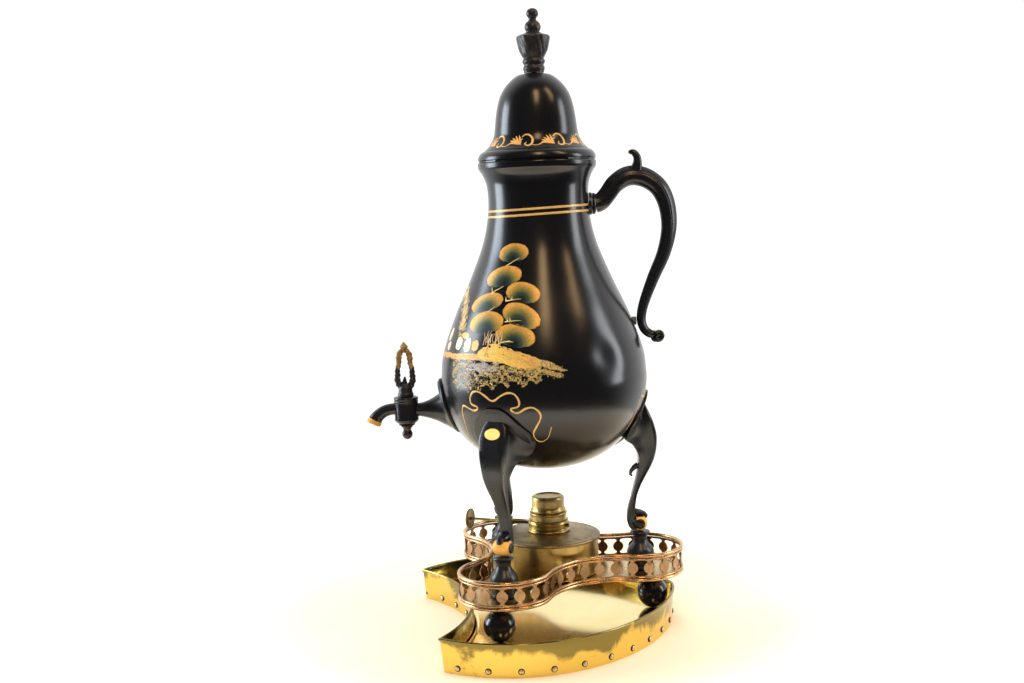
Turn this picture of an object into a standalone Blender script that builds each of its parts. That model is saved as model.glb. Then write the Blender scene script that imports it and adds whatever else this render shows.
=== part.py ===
"""A japanned coffee urn on three cabriole legs, with its tap, domed lid, galleried stand, spirit burner
and brass drip tray. The urn, the stand and the burner lift off, the lid and the snuffer cap lift off,
the tap's key turns, and the burner's spindle winds its wick."""

import math

import bmesh
import bpy
from mathutils import Matrix, Vector

MM = 0.001

# Driving dimensions
GAP = 0.3 * MM                      # clearance kept between neighbouring solids
AXIS_X = 16.1 * MM                  # the urn's own axis, from the middle of the whole footprint
AXIS_Y = 3.7 * MM
LEG_ANGLES = {"right": 0.0, "front": -120.0, "back": 120.0}

TRAY_TURN = 7.6                     # the tray lies a little askew under the stand, in degrees
TRAY_LENGTH = 185.0 * MM
TRAY_HALF_WIDTH = 110.5 * MM
TRAY_WIDEST = 62.0 * MM             # from the two corners
TRAY_CORNERS_X = -90.5 * MM         # the corners' place, from the urn's axis
TRAY_NOTCH = 30.0 * MM              # depth of the hollow side
TRAY_HEIGHT = 24.9 * MM
TRAY_SHEET = 0.9 * MM
TRAY_FLOOR_TOP = 10.0 * MM

LOBE_RADIUS = 33.0 * MM
LOBE_CENTRE = 68.0 * MM             # from the axis
WAIST_RADIUS = 53.0 * MM
WAIST_CENTRE = 96.8 * MM            # from the axis, outside the gallery
LOBE_SPAN = 103.2                   # each way from the lobe's own direction, in degrees
WAIST_SPAN = 43.2
PLATE_LOW = 40.4 * MM
PLATE_HIGH = 41.6 * MM
BOTTOM_RAIL_Z = 41.0 * MM
TOP_RAIL_Z = 59.3 * MM
RAIL_RADIUS = 1.4 * MM
BAND_SHEET = 0.9 * MM
OPENINGS_PER_THIRD = 16
OPENING_HALF_HEIGHT = 5.5 * MM
OPENING_HALF_WIDTH = 4.9 * MM
OPENING_WAIST = 2.5 * MM

BALL_RADIUS = 11.7 * MM
BALL_FOOT_REACH = 78.0 * MM         # from the axis
PAD_REACH = 69.7 * MM
PAD_TOP = 70.6 * MM
SCREW_RADIUS = 2.2 * MM
TENON_RADIUS = 2.5 * MM

BURNER_RADIUS = 37.5 * MM
BURNER_LOW = 41.9 * MM
BURNER_HIGH = 69.4 * MM
COLLAR_LOW = 73.5 * MM
COLLAR_HIGH = 82.0 * MM
SLEEVE_HIGH = 88.2 * MM
CAP_HIGH = 100.5 * MM
SPINDLE_TURN = -23.0                # the spindle's direction in plan, in degrees
SPINDLE_Z = 78.6 * MM
SPINDLE_ASIDE = -2.0 * MM           # the spindle passes beside the wick
SPINDLE_RADIUS = 1.1 * MM
WHEEL_RADIUS = 3.3 * MM
WICK_HALF_WIDTH = 7.8 * MM
WICK_TOP = 95.6 * MM

BELLY_RADIUS = 77.3 * MM
BELLY_Z = 193.4 * MM
BELLY_LOW = 123.5 * MM
BELLY_FULLNESS = 2.15               # 2 is an ellipse
MOUTH_RADIUS = 43.9 * MM
MOUTH_Z = 352.5 * MM
BODY_WALL = 1.2 * MM
BODY_STEPS = 24

LID_LOW = 353.9 * MM
LID_TOP = 417.2 * MM
LID_WALL = 1.0 * MM

FERRULE_END = 42.8 * MM             # where the handle's ferrule stops, from the axis

TAP_X = -104.8 * MM
TAP_LOW = 159.9 * MM
TAP_HIGH = 180.0 * MM
PLUG_BORE = 5.2 * MM
PLUG_RADIUS = 4.85 * MM
FLOW_RADIUS = 3.0 * MM

PLATE_THICKNESS = 2.0 * MM          # of the shield plate between a leg and the belly
TOE_RADIUS = 6.0 * MM

for old in list(bpy.data.objects):
    bpy.data.objects.remove(old, do_unlink=True)

parts = bpy.data.collections.new("coffee_urn")
cutters = bpy.data.collections.new("cutters")
for group in (parts, cutters):
    bpy.context.scene.collection.children.link(group)

axis = bpy.data.objects.new("urn_axis", None)
axis.location = (AXIS_X, AXIS_Y, 0)
parts.objects.link(axis)


# Materials

def material(name, colour, roughness, metallic):
    made = bpy.data.materials.new(name)
    made.use_nodes = True
    shader = made.node_tree.nodes["Principled BSDF"]
    shader.inputs["Base Color"].default_value = (*colour, 1)
    shader.inputs["Roughness"].default_value = roughness
    shader.inputs["Metallic"].default_value = metallic
    return made


black_japan = material("black_japan", (0.012, 0.012, 0.014), 0.18, 0.0)
japanned_casting = material("japanned_casting", (0.016, 0.016, 0.018), 0.3, 0.0)
polished_brass = material("polished_brass", (0.80, 0.60, 0.22), 0.12, 1.0)
red_brass = material("red_brass", (0.78, 0.50, 0.30), 0.2, 1.0)
aged_brass = material("aged_brass", (0.45, 0.34, 0.14), 0.32, 1.0)
black_wood = material("black_wood", (0.015, 0.014, 0.014), 0.35, 0.0)
gunmetal = material("gunmetal", (0.10, 0.09, 0.085), 0.3, 1.0)
cotton = material("cotton", (0.75, 0.70, 0.60), 0.9, 0.0)
tinned = material("tinned", (0.6, 0.6, 0.58), 0.35, 1.0)


# Ways of making a solid

def keep(obj, look):
    """Give a finished sub-part its material and hang it from the urn's axis."""
    obj.data.materials.clear()
    obj.data.materials.append(look)
    parts.objects.link(obj)
    obj.parent = axis
    return obj


def set_aside(obj):
    """Keep a solid only as a tool for Booleans."""
    cutters.objects.link(obj)
    obj.parent = axis
    obj.hide_render = True
    obj.display_type = "WIRE"
    return obj


def boolean(obj, tool, operation="DIFFERENCE"):
    step = obj.modifiers.new(operation.lower(), "BOOLEAN")
    step.operation = operation
    step.object = tool
    step.solver = "EXACT"


def polar(radius, degrees):
    turn = math.radians(degrees)
    return Vector((radius * math.cos(turn), radius * math.sin(turn)))


def arc(centre, radius, start, end, count):
    """Points of an arc, from the start angle to the end angle in degrees, both included."""
    centre = Vector(centre)
    return [centre + polar(radius, start + (end - start) * i / (count - 1)) for i in range(count)]


def smooth_line(points, per_span):
    """Points along a smooth curve that passes through every given point."""
    points = [Vector(p) for p in points]
    ends = [points[0] * 2 - points[1]] + points + [points[-1] * 2 - points[-2]]
    line = []
    for before, start, end, after in zip(ends, ends[1:], ends[2:], ends[3:]):
        for i in range(per_span):
            t = i / per_span
            bend = (before * 2 - start * 5 + end * 4 - after) * t * t
            twist = (start * 3 - before - end * 3 + after) * t * t * t
            line.append((start * 2 + (end - before) * t + bend + twist) / 2)
    return line + [points[-1]]


def mesh_object(name, points, edges=(), faces=()):
    data = bpy.data.meshes.new(name)
    data.from_pydata([tuple(p) for p in points], edges, faces)
    return bpy.data.objects.new(name, data)


def turned(name, profile, steps=24, ring=False, wall=0.0):
    """A turned solid. The profile holds (radius, height) points, down the outer side first.
    A ring's profile closes on itself, and a wall makes a shell inward of an open profile."""
    count = len(profile)
    edges = [(i, i + 1) for i in range(count - 1)] + ([(count - 1, 0)] if ring else [])
    obj = mesh_object(name, [(r, 0, z) for r, z in profile], edges)
    screw = obj.modifiers.new("turn", "SCREW")
    screw.steps = screw.render_steps = steps
    screw.use_merge_vertices = True
    screw.merge_threshold = 0.00001
    screw.use_smooth_shade = True
    if wall:
        add_wall(obj, wall)
    return obj


def add_wall(obj, thickness):
    """Thicken an open surface inward."""
    shell = obj.modifiers.new("wall", "SOLIDIFY")
    shell.thickness = thickness
    shell.offset = -1
    shell.use_even_offset = True


def from_curve(curve, name, place=None):
    """A welded mesh object made from curve data."""
    guide = bpy.data.objects.new(name + "_guide", curve)
    bpy.context.scene.collection.objects.link(guide)
    graph = bpy.context.evaluated_depsgraph_get()
    data = bpy.data.meshes.new_from_object(guide.evaluated_get(graph))
    bpy.data.objects.remove(guide, do_unlink=True)
    welded = bmesh.new()
    welded.from_mesh(data)
    bmesh.ops.remove_doubles(welded, verts=welded.verts, dist=0.00001)
    bmesh.ops.recalc_face_normals(welded, faces=welded.faces)
    welded.to_mesh(data)
    welded.free()
    if place:
        data.transform(place)
    data.name = name
    return bpy.data.objects.new(name, data)


def tube(name, points, radii, smooth_sides=2):
    """A rod along a line of 3-D points, with a radius at each point, and capped ends."""
    curve = bpy.data.curves.new(name, "CURVE")
    curve.dimensions = "3D"
    curve.bevel_depth = MM
    curve.bevel_resolution = smooth_sides
    curve.use_fill_caps = True
    spline = curve.splines.new("POLY")
    spline.points.add(len(points) - 1)
    for vertex, place, radius in zip(spline.points, points, radii):
        vertex.co = (*place, 1)
        vertex.radius = radius / MM
    return from_curve(curve, name)


def slab(name, outlines, low, high):
    """A flat plate between two heights. The first outline is its edge and the others are holes."""
    curve = bpy.data.curves.new(name, "CURVE")
    curve.dimensions = "2D"
    curve.fill_mode = "BOTH"
    curve.extrude = (high - low) / 2
    for outline in outlines:
        spline = curve.splines.new("POLY")
        spline.points.add(len(outline) - 1)
        spline.use_cyclic_u = True
        for vertex, place in zip(spline.points, outline):
            vertex.co = (place[0], place[1], 0, 1)
    return from_curve(curve, name, Matrix.Translation((0, 0, (low + high) / 2)))


def closed_rail(name, outline, height, radius):
    """A wire that follows a closed outline in plan."""
    curve = bpy.data.curves.new(name, "CURVE")
    curve.dimensions = "3D"
    curve.bevel_depth = radius
    curve.bevel_resolution = 0
    spline = curve.splines.new("POLY")
    spline.points.add(len(outline) - 1)
    spline.use_cyclic_u = True
    for vertex, place in zip(spline.points, outline):
        vertex.co = (place[0], place[1], height, 1)
    return from_curve(curve, name)


def upright_sheet(name, loops, cap_top=False):
    """An open surface through closed loops of 3-D points, each as long as the last."""
    count = len(loops[0])
    points = [p for loop in loops for p in loop]
    faces = []
    for row in range(len(loops) - 1):
        for i in range(count):
            j = (i + 1) % count
            low, high = row * count, (row + 1) * count
            faces.append((low + i, low + j, high + j, high + i))
    if cap_top:
        top = (len(loops) - 1) * count
        faces.append(tuple(range(top, top + count)))
    return mesh_object(name, points, faces=faces)


def loft(name, rings):
    """A closed solid through rings of points, with flat ends."""
    obj = upright_sheet(name, rings, cap_top=True)
    solid = bmesh.new()
    solid.from_mesh(obj.data)
    solid.verts.ensure_lookup_table()
    solid.faces.new(solid.verts[:len(rings[0])])
    bmesh.ops.recalc_face_normals(solid, faces=solid.faces)
    solid.to_mesh(obj.data)
    solid.free()
    return obj


def box(name, low, high, turn=0.0):
    """A block between two corners, turned about Z by an angle in degrees."""
    low, high = Vector(low), Vector(high)
    solid = bmesh.new()
    bmesh.ops.create_cube(solid, size=1)
    size = Matrix.Diagonal((*(high - low), 1))
    middle = Matrix.Translation((low + high) / 2)
    solid.transform(Matrix.Rotation(math.radians(turn), 4, "Z") @ middle @ size)
    data = bpy.data.meshes.new(name)
    solid.to_mesh(data)
    solid.free()
    return bpy.data.objects.new(name, data)


# Drip tray: a pointed floor with its edge turned down, and a flared wall riveted round it

def tray_outline():
    """The tray's plan, anticlockwise: the two bulging sides that meet in a rounded tip, and the hollow side."""
    def half_width(u):
        if u < TRAY_WIDEST:
            return TRAY_HALF_WIDTH * math.sqrt(1 - ((TRAY_WIDEST - u) / (100 * MM)) ** 2)
        along = (u - TRAY_WIDEST) / (TRAY_LENGTH - TRAY_WIDEST)
        return TRAY_HALF_WIDTH * max(0.0, 1 - along * along) ** 0.69

    corner_steps, side_steps, hollow_steps = 4, 12, 10
    stations = [TRAY_WIDEST * i / corner_steps for i in range(corner_steps)]
    for i in range(side_steps):
        stations.append(TRAY_WIDEST + (TRAY_LENGTH - TRAY_WIDEST) * math.sin(math.pi / 2 * i / side_steps))
    side = [Vector((u, -half_width(u))) for u in stations]
    tip = [Vector((TRAY_LENGTH, 0))]
    corner = half_width(0)
    radius = (corner ** 2 + TRAY_NOTCH ** 2) / (2 * TRAY_NOTCH)
    sweep = math.degrees(math.asin(corner / radius))
    hollow = arc((TRAY_NOTCH - radius, 0), radius, sweep, -sweep, hollow_steps + 1)[1:-1]
    other_side = [Vector((p.x, -p.y)) for p in reversed(side)]
    turn = Matrix.Rotation(math.radians(TRAY_TURN), 2)
    return [turn @ (p + Vector((TRAY_CORNERS_X, 0))) for p in side + tip + other_side + hollow]


def offset_outline(outline, distance):
    """The same closed outline, moved outward by a distance, with its corners kept sharp."""
    moved = []
    for before, here, after in zip(outline[-1:] + outline, outline, outline[1:] + outline[:1]):
        first = (here - before).normalized()
        second = (after - here).normalized()
        normal = Vector((first.y + second.y, -first.x - second.x)).normalized()
        stretch = max(0.3, normal.dot(Vector((first.y, -first.x))))
        moved.append(here + normal * (distance / stretch))
    return moved


tray_plan = tray_outline()
wall_rows = ((0.0, 0.0), (3.0 * MM, 0.0), (23.4 * MM, 1.4 * MM), (TRAY_HEIGHT, 2.4 * MM))
wall_loops = [[(*p, z) for p in offset_outline(tray_plan, out)] for z, out in wall_rows]
tray_wall = upright_sheet("tray_wall", wall_loops)
add_wall(tray_wall, TRAY_SHEET)
keep(tray_wall, polished_brass)

floor_plan = offset_outline(tray_plan, -(TRAY_SHEET + GAP))
floor_loops = [[(*p, z) for p in floor_plan] for z in (0.5 * MM, TRAY_FLOOR_TOP)]
tray_floor = upright_sheet("tray_floor", floor_loops, cap_top=True)
add_wall(tray_floor, TRAY_SHEET)
keep(tray_floor, polished_brass)


# Stand: a trefoil plate with a pierced gallery between two rails, on three ball feet

def trefoil(offset, lobe_steps=12, waist_steps=5):
    """The stand's plan, anticlockwise from the right lobe, moved outward by the offset."""
    outline = []
    for third in range(3):
        facing = 120 * third
        lobe = arc(polar(LOBE_CENTRE, facing), LOBE_RADIUS + offset,
                   facing - LOBE_SPAN, facing + LOBE_SPAN, lobe_steps + 1)
        between = facing + 60
        waist = arc(polar(WAIST_CENTRE, between), WAIST_RADIUS - offset,
                    between + 180 + WAIST_SPAN, between + 180 - WAIST_SPAN, waist_steps + 1)
        outline += lobe + waist[1:-1]
    return outline


def gallery_stations():
    """(place, outward direction) at the middle of each opening of the gallery."""
    lobe_length = LOBE_RADIUS * math.radians(2 * LOBE_SPAN)
    waist_length = WAIST_RADIUS * math.radians(2 * WAIST_SPAN)
    pitch = (lobe_length + waist_length) / OPENINGS_PER_THIRD
    for third in range(3):
        facing = 120 * third
        for i in range(OPENINGS_PER_THIRD):
            along = (i + 0.5) * pitch
            if along < lobe_length:
                turn = facing - LOBE_SPAN + math.degrees(along / LOBE_RADIUS)
                yield polar(LOBE_CENTRE, facing) + polar(LOBE_RADIUS, turn), turn
            else:
                inward = facing + 240 + WAIST_SPAN - math.degrees((along - lobe_length) / WAIST_RADIUS)
                yield polar(WAIST_CENTRE, facing + 60) + polar(WAIST_RADIUS, inward), inward + 180


def opening_prism(place, turn):
    """The points of one waisted opening's cutter, on both faces of the gallery's band."""
    half = [(OPENING_HALF_WIDTH, OPENING_HALF_HEIGHT), (OPENING_WAIST, 0.36 * OPENING_HALF_HEIGHT)]
    right = half + [(s, -z) for s, z in reversed(half)]
    outline = right + [(-s, z) for s, z in reversed(right)]
    middle = (BOTTOM_RAIL_Z + TOP_RAIL_Z) / 2
    outward, sideways = polar(1, turn), polar(1, turn + 90)
    points = []
    for reach in (-3 * MM, 3 * MM):
        for s, z in outline:
            points.append((*(place + outward * reach + sideways * s), middle + z))
    return points


def gallery_cutter():
    points, faces = [], []
    for place, turn in gallery_stations():
        first = len(points)
        points += opening_prism(place, turn)
        count = (len(points) - first) // 2
        near = list(range(first, first + count))
        far = list(range(first + count, first + 2 * count))
        faces += [tuple(near), tuple(reversed(far))]
        for i in range(count):
            j = (i + 1) % count
            faces.append((near[j], near[i], far[i], far[j]))
    cutter = mesh_object("gallery_openings", points, faces=faces)
    solid = bmesh.new()
    solid.from_mesh(cutter.data)
    bmesh.ops.recalc_face_normals(solid, faces=solid.faces)
    solid.to_mesh(cutter.data)
    solid.free()
    return set_aside(cutter)


def circle(centre, radius, count=12):
    return [Vector(centre) + polar(radius, 360 * i / count) for i in range(count)]


plate_holes = []
for facing in LEG_ANGLES.values():
    plate_holes.append(circle(polar(PAD_REACH, facing), SCREW_RADIUS + GAP))
    plate_holes.append(circle(polar(BALL_FOOT_REACH, facing), TENON_RADIUS + GAP))
plate_outline = trefoil(-(RAIL_RADIUS + GAP))
keep(slab("stand_plate", [plate_outline] + plate_holes, PLATE_LOW, PLATE_HIGH), red_brass)

band_low = BOTTOM_RAIL_Z + RAIL_RADIUS + GAP
band_high = TOP_RAIL_Z - RAIL_RADIUS - GAP
band_loops = [[(*p, z) for p in trefoil(BAND_SHEET / 2)] for z in (band_low, band_high)]
gallery_band = upright_sheet("gallery_band", band_loops)
add_wall(gallery_band, BAND_SHEET)
boolean(gallery_band, gallery_cutter())
keep(gallery_band, red_brass)
keep(closed_rail("gallery_bottom_rail", trefoil(0), BOTTOM_RAIL_Z, RAIL_RADIUS), red_brass)
keep(closed_rail("gallery_top_rail", trefoil(0), TOP_RAIL_Z, RAIL_RADIUS), red_brass)

ball_z = TRAY_FLOOR_TOP + GAP + BALL_RADIUS
ball_arc = arc((0, ball_z), BALL_RADIUS, 59, -90, 8)
foot_profile = [(0, 41.5 * MM), (TENON_RADIUS, 41.5 * MM), (TENON_RADIUS, PLATE_LOW - GAP),
                (5.1 * MM, PLATE_LOW - GAP), (5.2 * MM, 38.3 * MM), (6.8 * MM, 37.7 * MM),
                (6.8 * MM, 36.4 * MM), (5.6 * MM, 34.6 * MM)]
foot_profile += [(p.x, p.y) for p in ball_arc[:-1]] + [(0, ball_z - BALL_RADIUS)]
pad_profile = [(0, PAD_TOP), (7.1 * MM, PAD_TOP), (7.6 * MM, 70.0 * MM), (7.5 * MM, 69.0 * MM),
               (5.5 * MM, 67.0 * MM), (5.1 * MM, 64.6 * MM), (6.0 * MM, 61.8 * MM), (8.8 * MM, 58.4 * MM),
               (10.3 * MM, 54.8 * MM), (10.6 * MM, 50.6 * MM), (9.4 * MM, 45.8 * MM), (9.3 * MM, 44.4 * MM),
               (10.2 * MM, 43.6 * MM), (10.2 * MM, PLATE_HIGH + GAP), (SCREW_RADIUS + GAP, PLATE_HIGH + GAP),
               (SCREW_RADIUS + GAP, 58.0 * MM), (0, 58.0 * MM)]
screw_profile = [(0, 57.6 * MM), (SCREW_RADIUS, 57.6 * MM), (SCREW_RADIUS, PLATE_LOW - GAP),
                 (2.8 * MM, PLATE_LOW - GAP), (2.8 * MM, 39.2 * MM), (2.0 * MM, 38.5 * MM), (0, 38.5 * MM)]
for side, facing in LEG_ANGLES.items():
    foot = turned("ball_foot_" + side, foot_profile, steps=12)
    foot.location = (*polar(BALL_FOOT_REACH, facing), 0)
    keep(foot, black_wood)
    pad = turned("pad_" + side, pad_profile, steps=12)
    pad.location = (*polar(PAD_REACH, facing), 0)
    keep(pad, black_wood)
    screw = turned("pad_screw_" + side, screw_profile, steps=12)
    screw.location = (*polar(PAD_REACH, facing), 0)
    keep(screw, aged_brass)


# Spirit burner: a drum with a seamed shoulder, a collar, a sleeve that holds the flat wick's tube, the
# snuffer cap, and a spindle whose wheel lifts the wick

reservoir = turned("burner_reservoir", [(BURNER_RADIUS, BURNER_HIGH), (BURNER_RADIUS, 43.4 * MM),
                                        (36.4 * MM, BURNER_LOW), (0, BURNER_LOW)], steps=24, wall=0.8 * MM)
keep(reservoir, aged_brass)
shoulder = turned("burner_shoulder", [(13.4 * MM, 73.2 * MM), (17.0 * MM, 73.1 * MM), (36.2 * MM, 71.1 * MM),
                                      (38.0 * MM, 71.0 * MM), (39.1 * MM, 70.3 * MM), (39.2 * MM, 69.3 * MM),
                                      (38.8 * MM, 68.7 * MM), (38.1 * MM, 68.7 * MM), (38.0 * MM, 70.0 * MM),
                                      (36.0 * MM, 70.3 * MM), (17.0 * MM, 72.3 * MM), (13.4 * MM, 72.4 * MM)],
                  steps=24, ring=True)
keep(shoulder, aged_brass)

plan_turn = Matrix.Rotation(math.radians(SPINDLE_TURN), 4, "Z")
lay_down = Matrix.Rotation(math.radians(90), 4, "Y")
spindle_place = plan_turn @ Matrix.Translation((0, SPINDLE_ASIDE, SPINDLE_Z)) @ lay_down

collar = turned("burner_collar", [(15.2 * MM, COLLAR_HIGH), (15.3 * MM, 75.3 * MM), (16.3 * MM, 74.7 * MM),
                                  (16.3 * MM, COLLAR_LOW), (13.9 * MM, COLLAR_LOW), (13.9 * MM, COLLAR_HIGH)],
                steps=24, ring=True)
spindle_hole = turned("spindle_hole", [(0, 20 * MM), (SPINDLE_RADIUS + 0.4 * MM, 20 * MM),
                                       (SPINDLE_RADIUS + 0.4 * MM, -20 * MM), (0, -20 * MM)], steps=12)
spindle_hole.matrix_local = spindle_place
boolean(collar, set_aside(spindle_hole))
keep(collar, aged_brass)

sleeve = turned("burner_sleeve", [(0, 87.4 * MM), (12.4 * MM, 87.4 * MM), (12.6 * MM, SLEEVE_HIGH),
                                  (13.4 * MM, SLEEVE_HIGH), (14.2 * MM, 87.8 * MM), (14.6 * MM, 87.1 * MM),
                                  (14.2 * MM, 86.4 * MM), (14.1 * MM, COLLAR_HIGH + GAP),
                                  (13.3 * MM, COLLAR_HIGH + GAP), (13.2 * MM, 86.5 * MM), (0, 86.5 * MM)], steps=24)
wick_slot = box("wick_slot", (-9.3 * MM, -0.3 * MM, 84 * MM), (9.3 * MM, 5.3 * MM, 90 * MM), SPINDLE_TURN)
boolean(sleeve, set_aside(wick_slot))
keep(sleeve, aged_brass)

snuffer_cap = turned("snuffer_cap", [(0, CAP_HIGH), (10.4 * MM, CAP_HIGH), (12.0 * MM, 99.8 * MM),
                                     (12.5 * MM, 98.4 * MM), (12.6 * MM, 93.0 * MM),
                                     (12.9 * MM, SLEEVE_HIGH + GAP)], steps=24, wall=0.7 * MM)
keep(snuffer_cap, aged_brass)

wick_tube = box("wick_tube", (-9 * MM, 0, 60 * MM), (9 * MM, 5 * MM, 95 * MM), SPINDLE_TURN)
tube_bore = box("tube_bore", (-8.2 * MM, 0.8 * MM, 55 * MM), (8.2 * MM, 4.2 * MM, 99 * MM), SPINDLE_TURN)
wheel_window = box("wheel_window", (-1.8 * MM, -2 * MM, 74.4 * MM), (1.8 * MM, 2 * MM, 82.8 * MM), SPINDLE_TURN)
boolean(wick_tube, set_aside(tube_bore))
boolean(wick_tube, set_aside(wheel_window))
keep(wick_tube, aged_brass)
keep(box("wick", (-WICK_HALF_WIDTH, 1.6 * MM, 52 * MM), (WICK_HALF_WIDTH, 3.9 * MM, WICK_TOP), SPINDLE_TURN), cotton)

spindle = turned("wick_spindle", [(0, 16.8 * MM), (SPINDLE_RADIUS, 16.8 * MM), (SPINDLE_RADIUS, 1 * MM),
                                  (WHEEL_RADIUS, 1 * MM), (WHEEL_RADIUS, -1 * MM), (SPINDLE_RADIUS, -1 * MM),
                                  (SPINDLE_RADIUS, -63.9 * MM), (0, -63.9 * MM)], steps=12)
spindle.matrix_local = spindle_place
keep(spindle, aged_brass)
knob = turned("spindle_knob", [(0, -64.2 * MM), (7.6 * MM, -64.2 * MM), (7.9 * MM, -64.6 * MM),
                               (7.9 * MM, -65.5 * MM), (7.6 * MM, -65.9 * MM), (2.6 * MM, -65.9 * MM),
                               (1.8 * MM, -67.2 * MM), (0, -67.2 * MM)], steps=16)
knob.matrix_local = spindle_place
keep(knob, aged_brass)


# Urn body: one pear-shaped shell with a rolled mouth

def body_outline(offset):
    """(radius, height) points down the body's outer side, moved outward by the offset."""
    lip = [Vector((43.5 * MM, MOUTH_Z)), Vector((MOUTH_RADIUS, MOUTH_Z - 0.7 * MM))]
    side = smooth_line([(43.8 * MM, 348.4 * MM), (39.9 * MM, 341.8 * MM), (37.6 * MM, 333.0 * MM),
                        (37.6 * MM, 316.0 * MM), (42.3 * MM, 293.0 * MM), (53.0 * MM, 266.0 * MM),
                        (65.3 * MM, 239.0 * MM), (75.0 * MM, 212.0 * MM), (BELLY_RADIUS, BELLY_Z)], 2)
    low_steps = 8
    bowl = []
    for i in range(1, low_steps + 1):
        turn = math.pi / 2 * i / low_steps
        out = abs(math.cos(turn)) ** (2 / BELLY_FULLNESS) if i < low_steps else 0.0
        down = math.sin(turn) ** (2 / BELLY_FULLNESS)
        bowl.append(Vector((BELLY_RADIUS * out, BELLY_Z - (BELLY_Z - BELLY_LOW) * down)))
    line = lip + side + bowl
    moved = []
    for i, here in enumerate(line):
        before, after = line[max(i - 1, 0)], line[min(i + 1, len(line) - 1)]
        along = (after - before).normalized()
        moved.append(here + Vector((-along.y, along.x)) * offset)
    moved[-1] = Vector((0, BELLY_LOW - offset))
    return [(p.x, p.y) for p in moved]


def body_tool(name, offset):
    """A solid of the body's outer shape, larger by the offset, for cutting what lies against it."""
    outline = body_outline(offset)
    return set_aside(turned(name, [(0, outline[0][1])] + outline, steps=BODY_STEPS))


close_to_body = body_tool("close_to_body", GAP)
over_plates = body_tool("over_plates", GAP + PLATE_THICKNESS)
clear_of_plates = body_tool("clear_of_plates", 2 * GAP + PLATE_THICKNESS)

urn_body = turned("urn_body", body_outline(0), steps=BODY_STEPS, wall=BODY_WALL)
tap_hole = tube("tap_hole", [(-85 * MM, 0, 170 * MM), (-60 * MM, 0, 170 * MM)], [FLOW_RADIUS] * 2)
boolean(urn_body, set_aside(tap_hole))
keep(urn_body, black_japan)


# Lid: a bell-shaped dome, the bezel that seats it in the mouth, and the finial with its nut inside

lid_side = smooth_line([(2.6 * MM, LID_TOP), (13.8 * MM, 415.0 * MM), (25.2 * MM, 402.6 * MM),
                        (29.0 * MM, 388.4 * MM), (31.2 * MM, 372.4 * MM), (38.2 * MM, 361.5 * MM)], 2)
ring_side = [(39.4 * MM, 360.7 * MM), (42.0 * MM, 359.0 * MM), (43.5 * MM, 356.6 * MM), (43.7 * MM, LID_LOW)]
lid_dome = turned("lid_dome", [(p.x, p.y) for p in lid_side] + ring_side, steps=24, wall=LID_WALL)
keep(lid_dome, black_japan)
bezel = turned("lid_bezel", [(36.1 * MM, 353.6 * MM), (43.3 * MM, 353.6 * MM), (43.3 * MM, 352.8 * MM),
                             (36.9 * MM, 352.8 * MM), (36.7 * MM, 341.4 * MM), (36.0 * MM, 341.4 * MM)],
               steps=24, ring=True)
keep(bezel, black_japan)
finial = turned("finial", [(0, 464.1 * MM), (2.4 * MM, 463.8 * MM), (4.1 * MM, 461.4 * MM), (4.3 * MM, 459.6 * MM),
                           (2.9 * MM, 457.0 * MM), (2.9 * MM, 455.4 * MM), (5.4 * MM, 452.9 * MM),
                           (6.0 * MM, 450.4 * MM), (5.2 * MM, 447.0 * MM), (7.0 * MM, 445.7 * MM),
                           (11.8 * MM, 444.2 * MM), (12.4 * MM, 442.4 * MM), (11.8 * MM, 438.3 * MM),
                           (10.1 * MM, 432.5 * MM), (7.8 * MM, 428.2 * MM), (8.3 * MM, 425.4 * MM),
                           (7.2 * MM, 422.6 * MM), (7.9 * MM, 419.8 * MM), (7.6 * MM, 417.6 * MM),
                           (2.2 * MM, 417.6 * MM), (2.2 * MM, 409.0 * MM), (0, 409.0 * MM)], steps=14)
keep(finial, gunmetal)
nut_outline = circle((0, 0), 4.6 * MM, 6)
nut_hole = circle((0, 0), SCREW_RADIUS + GAP)
keep(slab("finial_nut", [nut_outline, nut_hole], 411.2 * MM, 414.2 * MM), tinned)


# Handle: a cast S-scroll with a thumb rest, its ferrule on the neck, and its boss on the belly

handle_stations = smooth_line([(38.0, 319.0, 5.8), (43.4, 320.6, 5.8), (49.4, 325.4, 5.9), (57.0, 334.3, 6.8),
                               (65.4, 339.2, 7.3), (74.0, 339.8, 7.4), (83.0, 336.4, 7.2),
                               (90.9, 329.0, 6.8), (95.8, 316.5, 6.3),
                               (96.8, 300.0, 5.7), (92.4, 281.6, 5.1), (84.3, 263.8, 4.5), (76.9, 245.0, 3.8),
                               (74.6, 233.6, 3.5), (76.2, 226.0, 3.3), (80.6, 221.6, 3.2), (85.7, 220.8, 2.8)], 2)
handle = tube("handle", [(p.x * MM, 0, p.y * MM) for p in handle_stations],
              [p.z * MM for p in handle_stations])
rest_stations = smooth_line([(75.0, 342.0, 4.2), (76.4, 348.0, 3.4), (74.9, 353.0, 2.7), (70.9, 356.4, 2.2)], 2)
thumb_rest = tube("thumb_rest", [(p.x * MM, 0, p.y * MM) for p in rest_stations],
                  [p.z * MM for p in rest_stations], 1)
scroll_ball = turned("scroll_ball", [(p.x, p.y) for p in arc((0, 0), 4.2 * MM, 90, -90, 7)], steps=12)
scroll_ball.location = (85.9 * MM, 0, 220.4 * MM)
boolean(handle, set_aside(thumb_rest), "UNION")
boolean(handle, set_aside(scroll_ball), "UNION")
square_end = box("square_end", (25 * MM, -15 * MM, 300 * MM), (FERRULE_END + GAP, 15 * MM, 333 * MM))
boolean(handle, set_aside(square_end))
keep(handle, japanned_casting)

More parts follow.
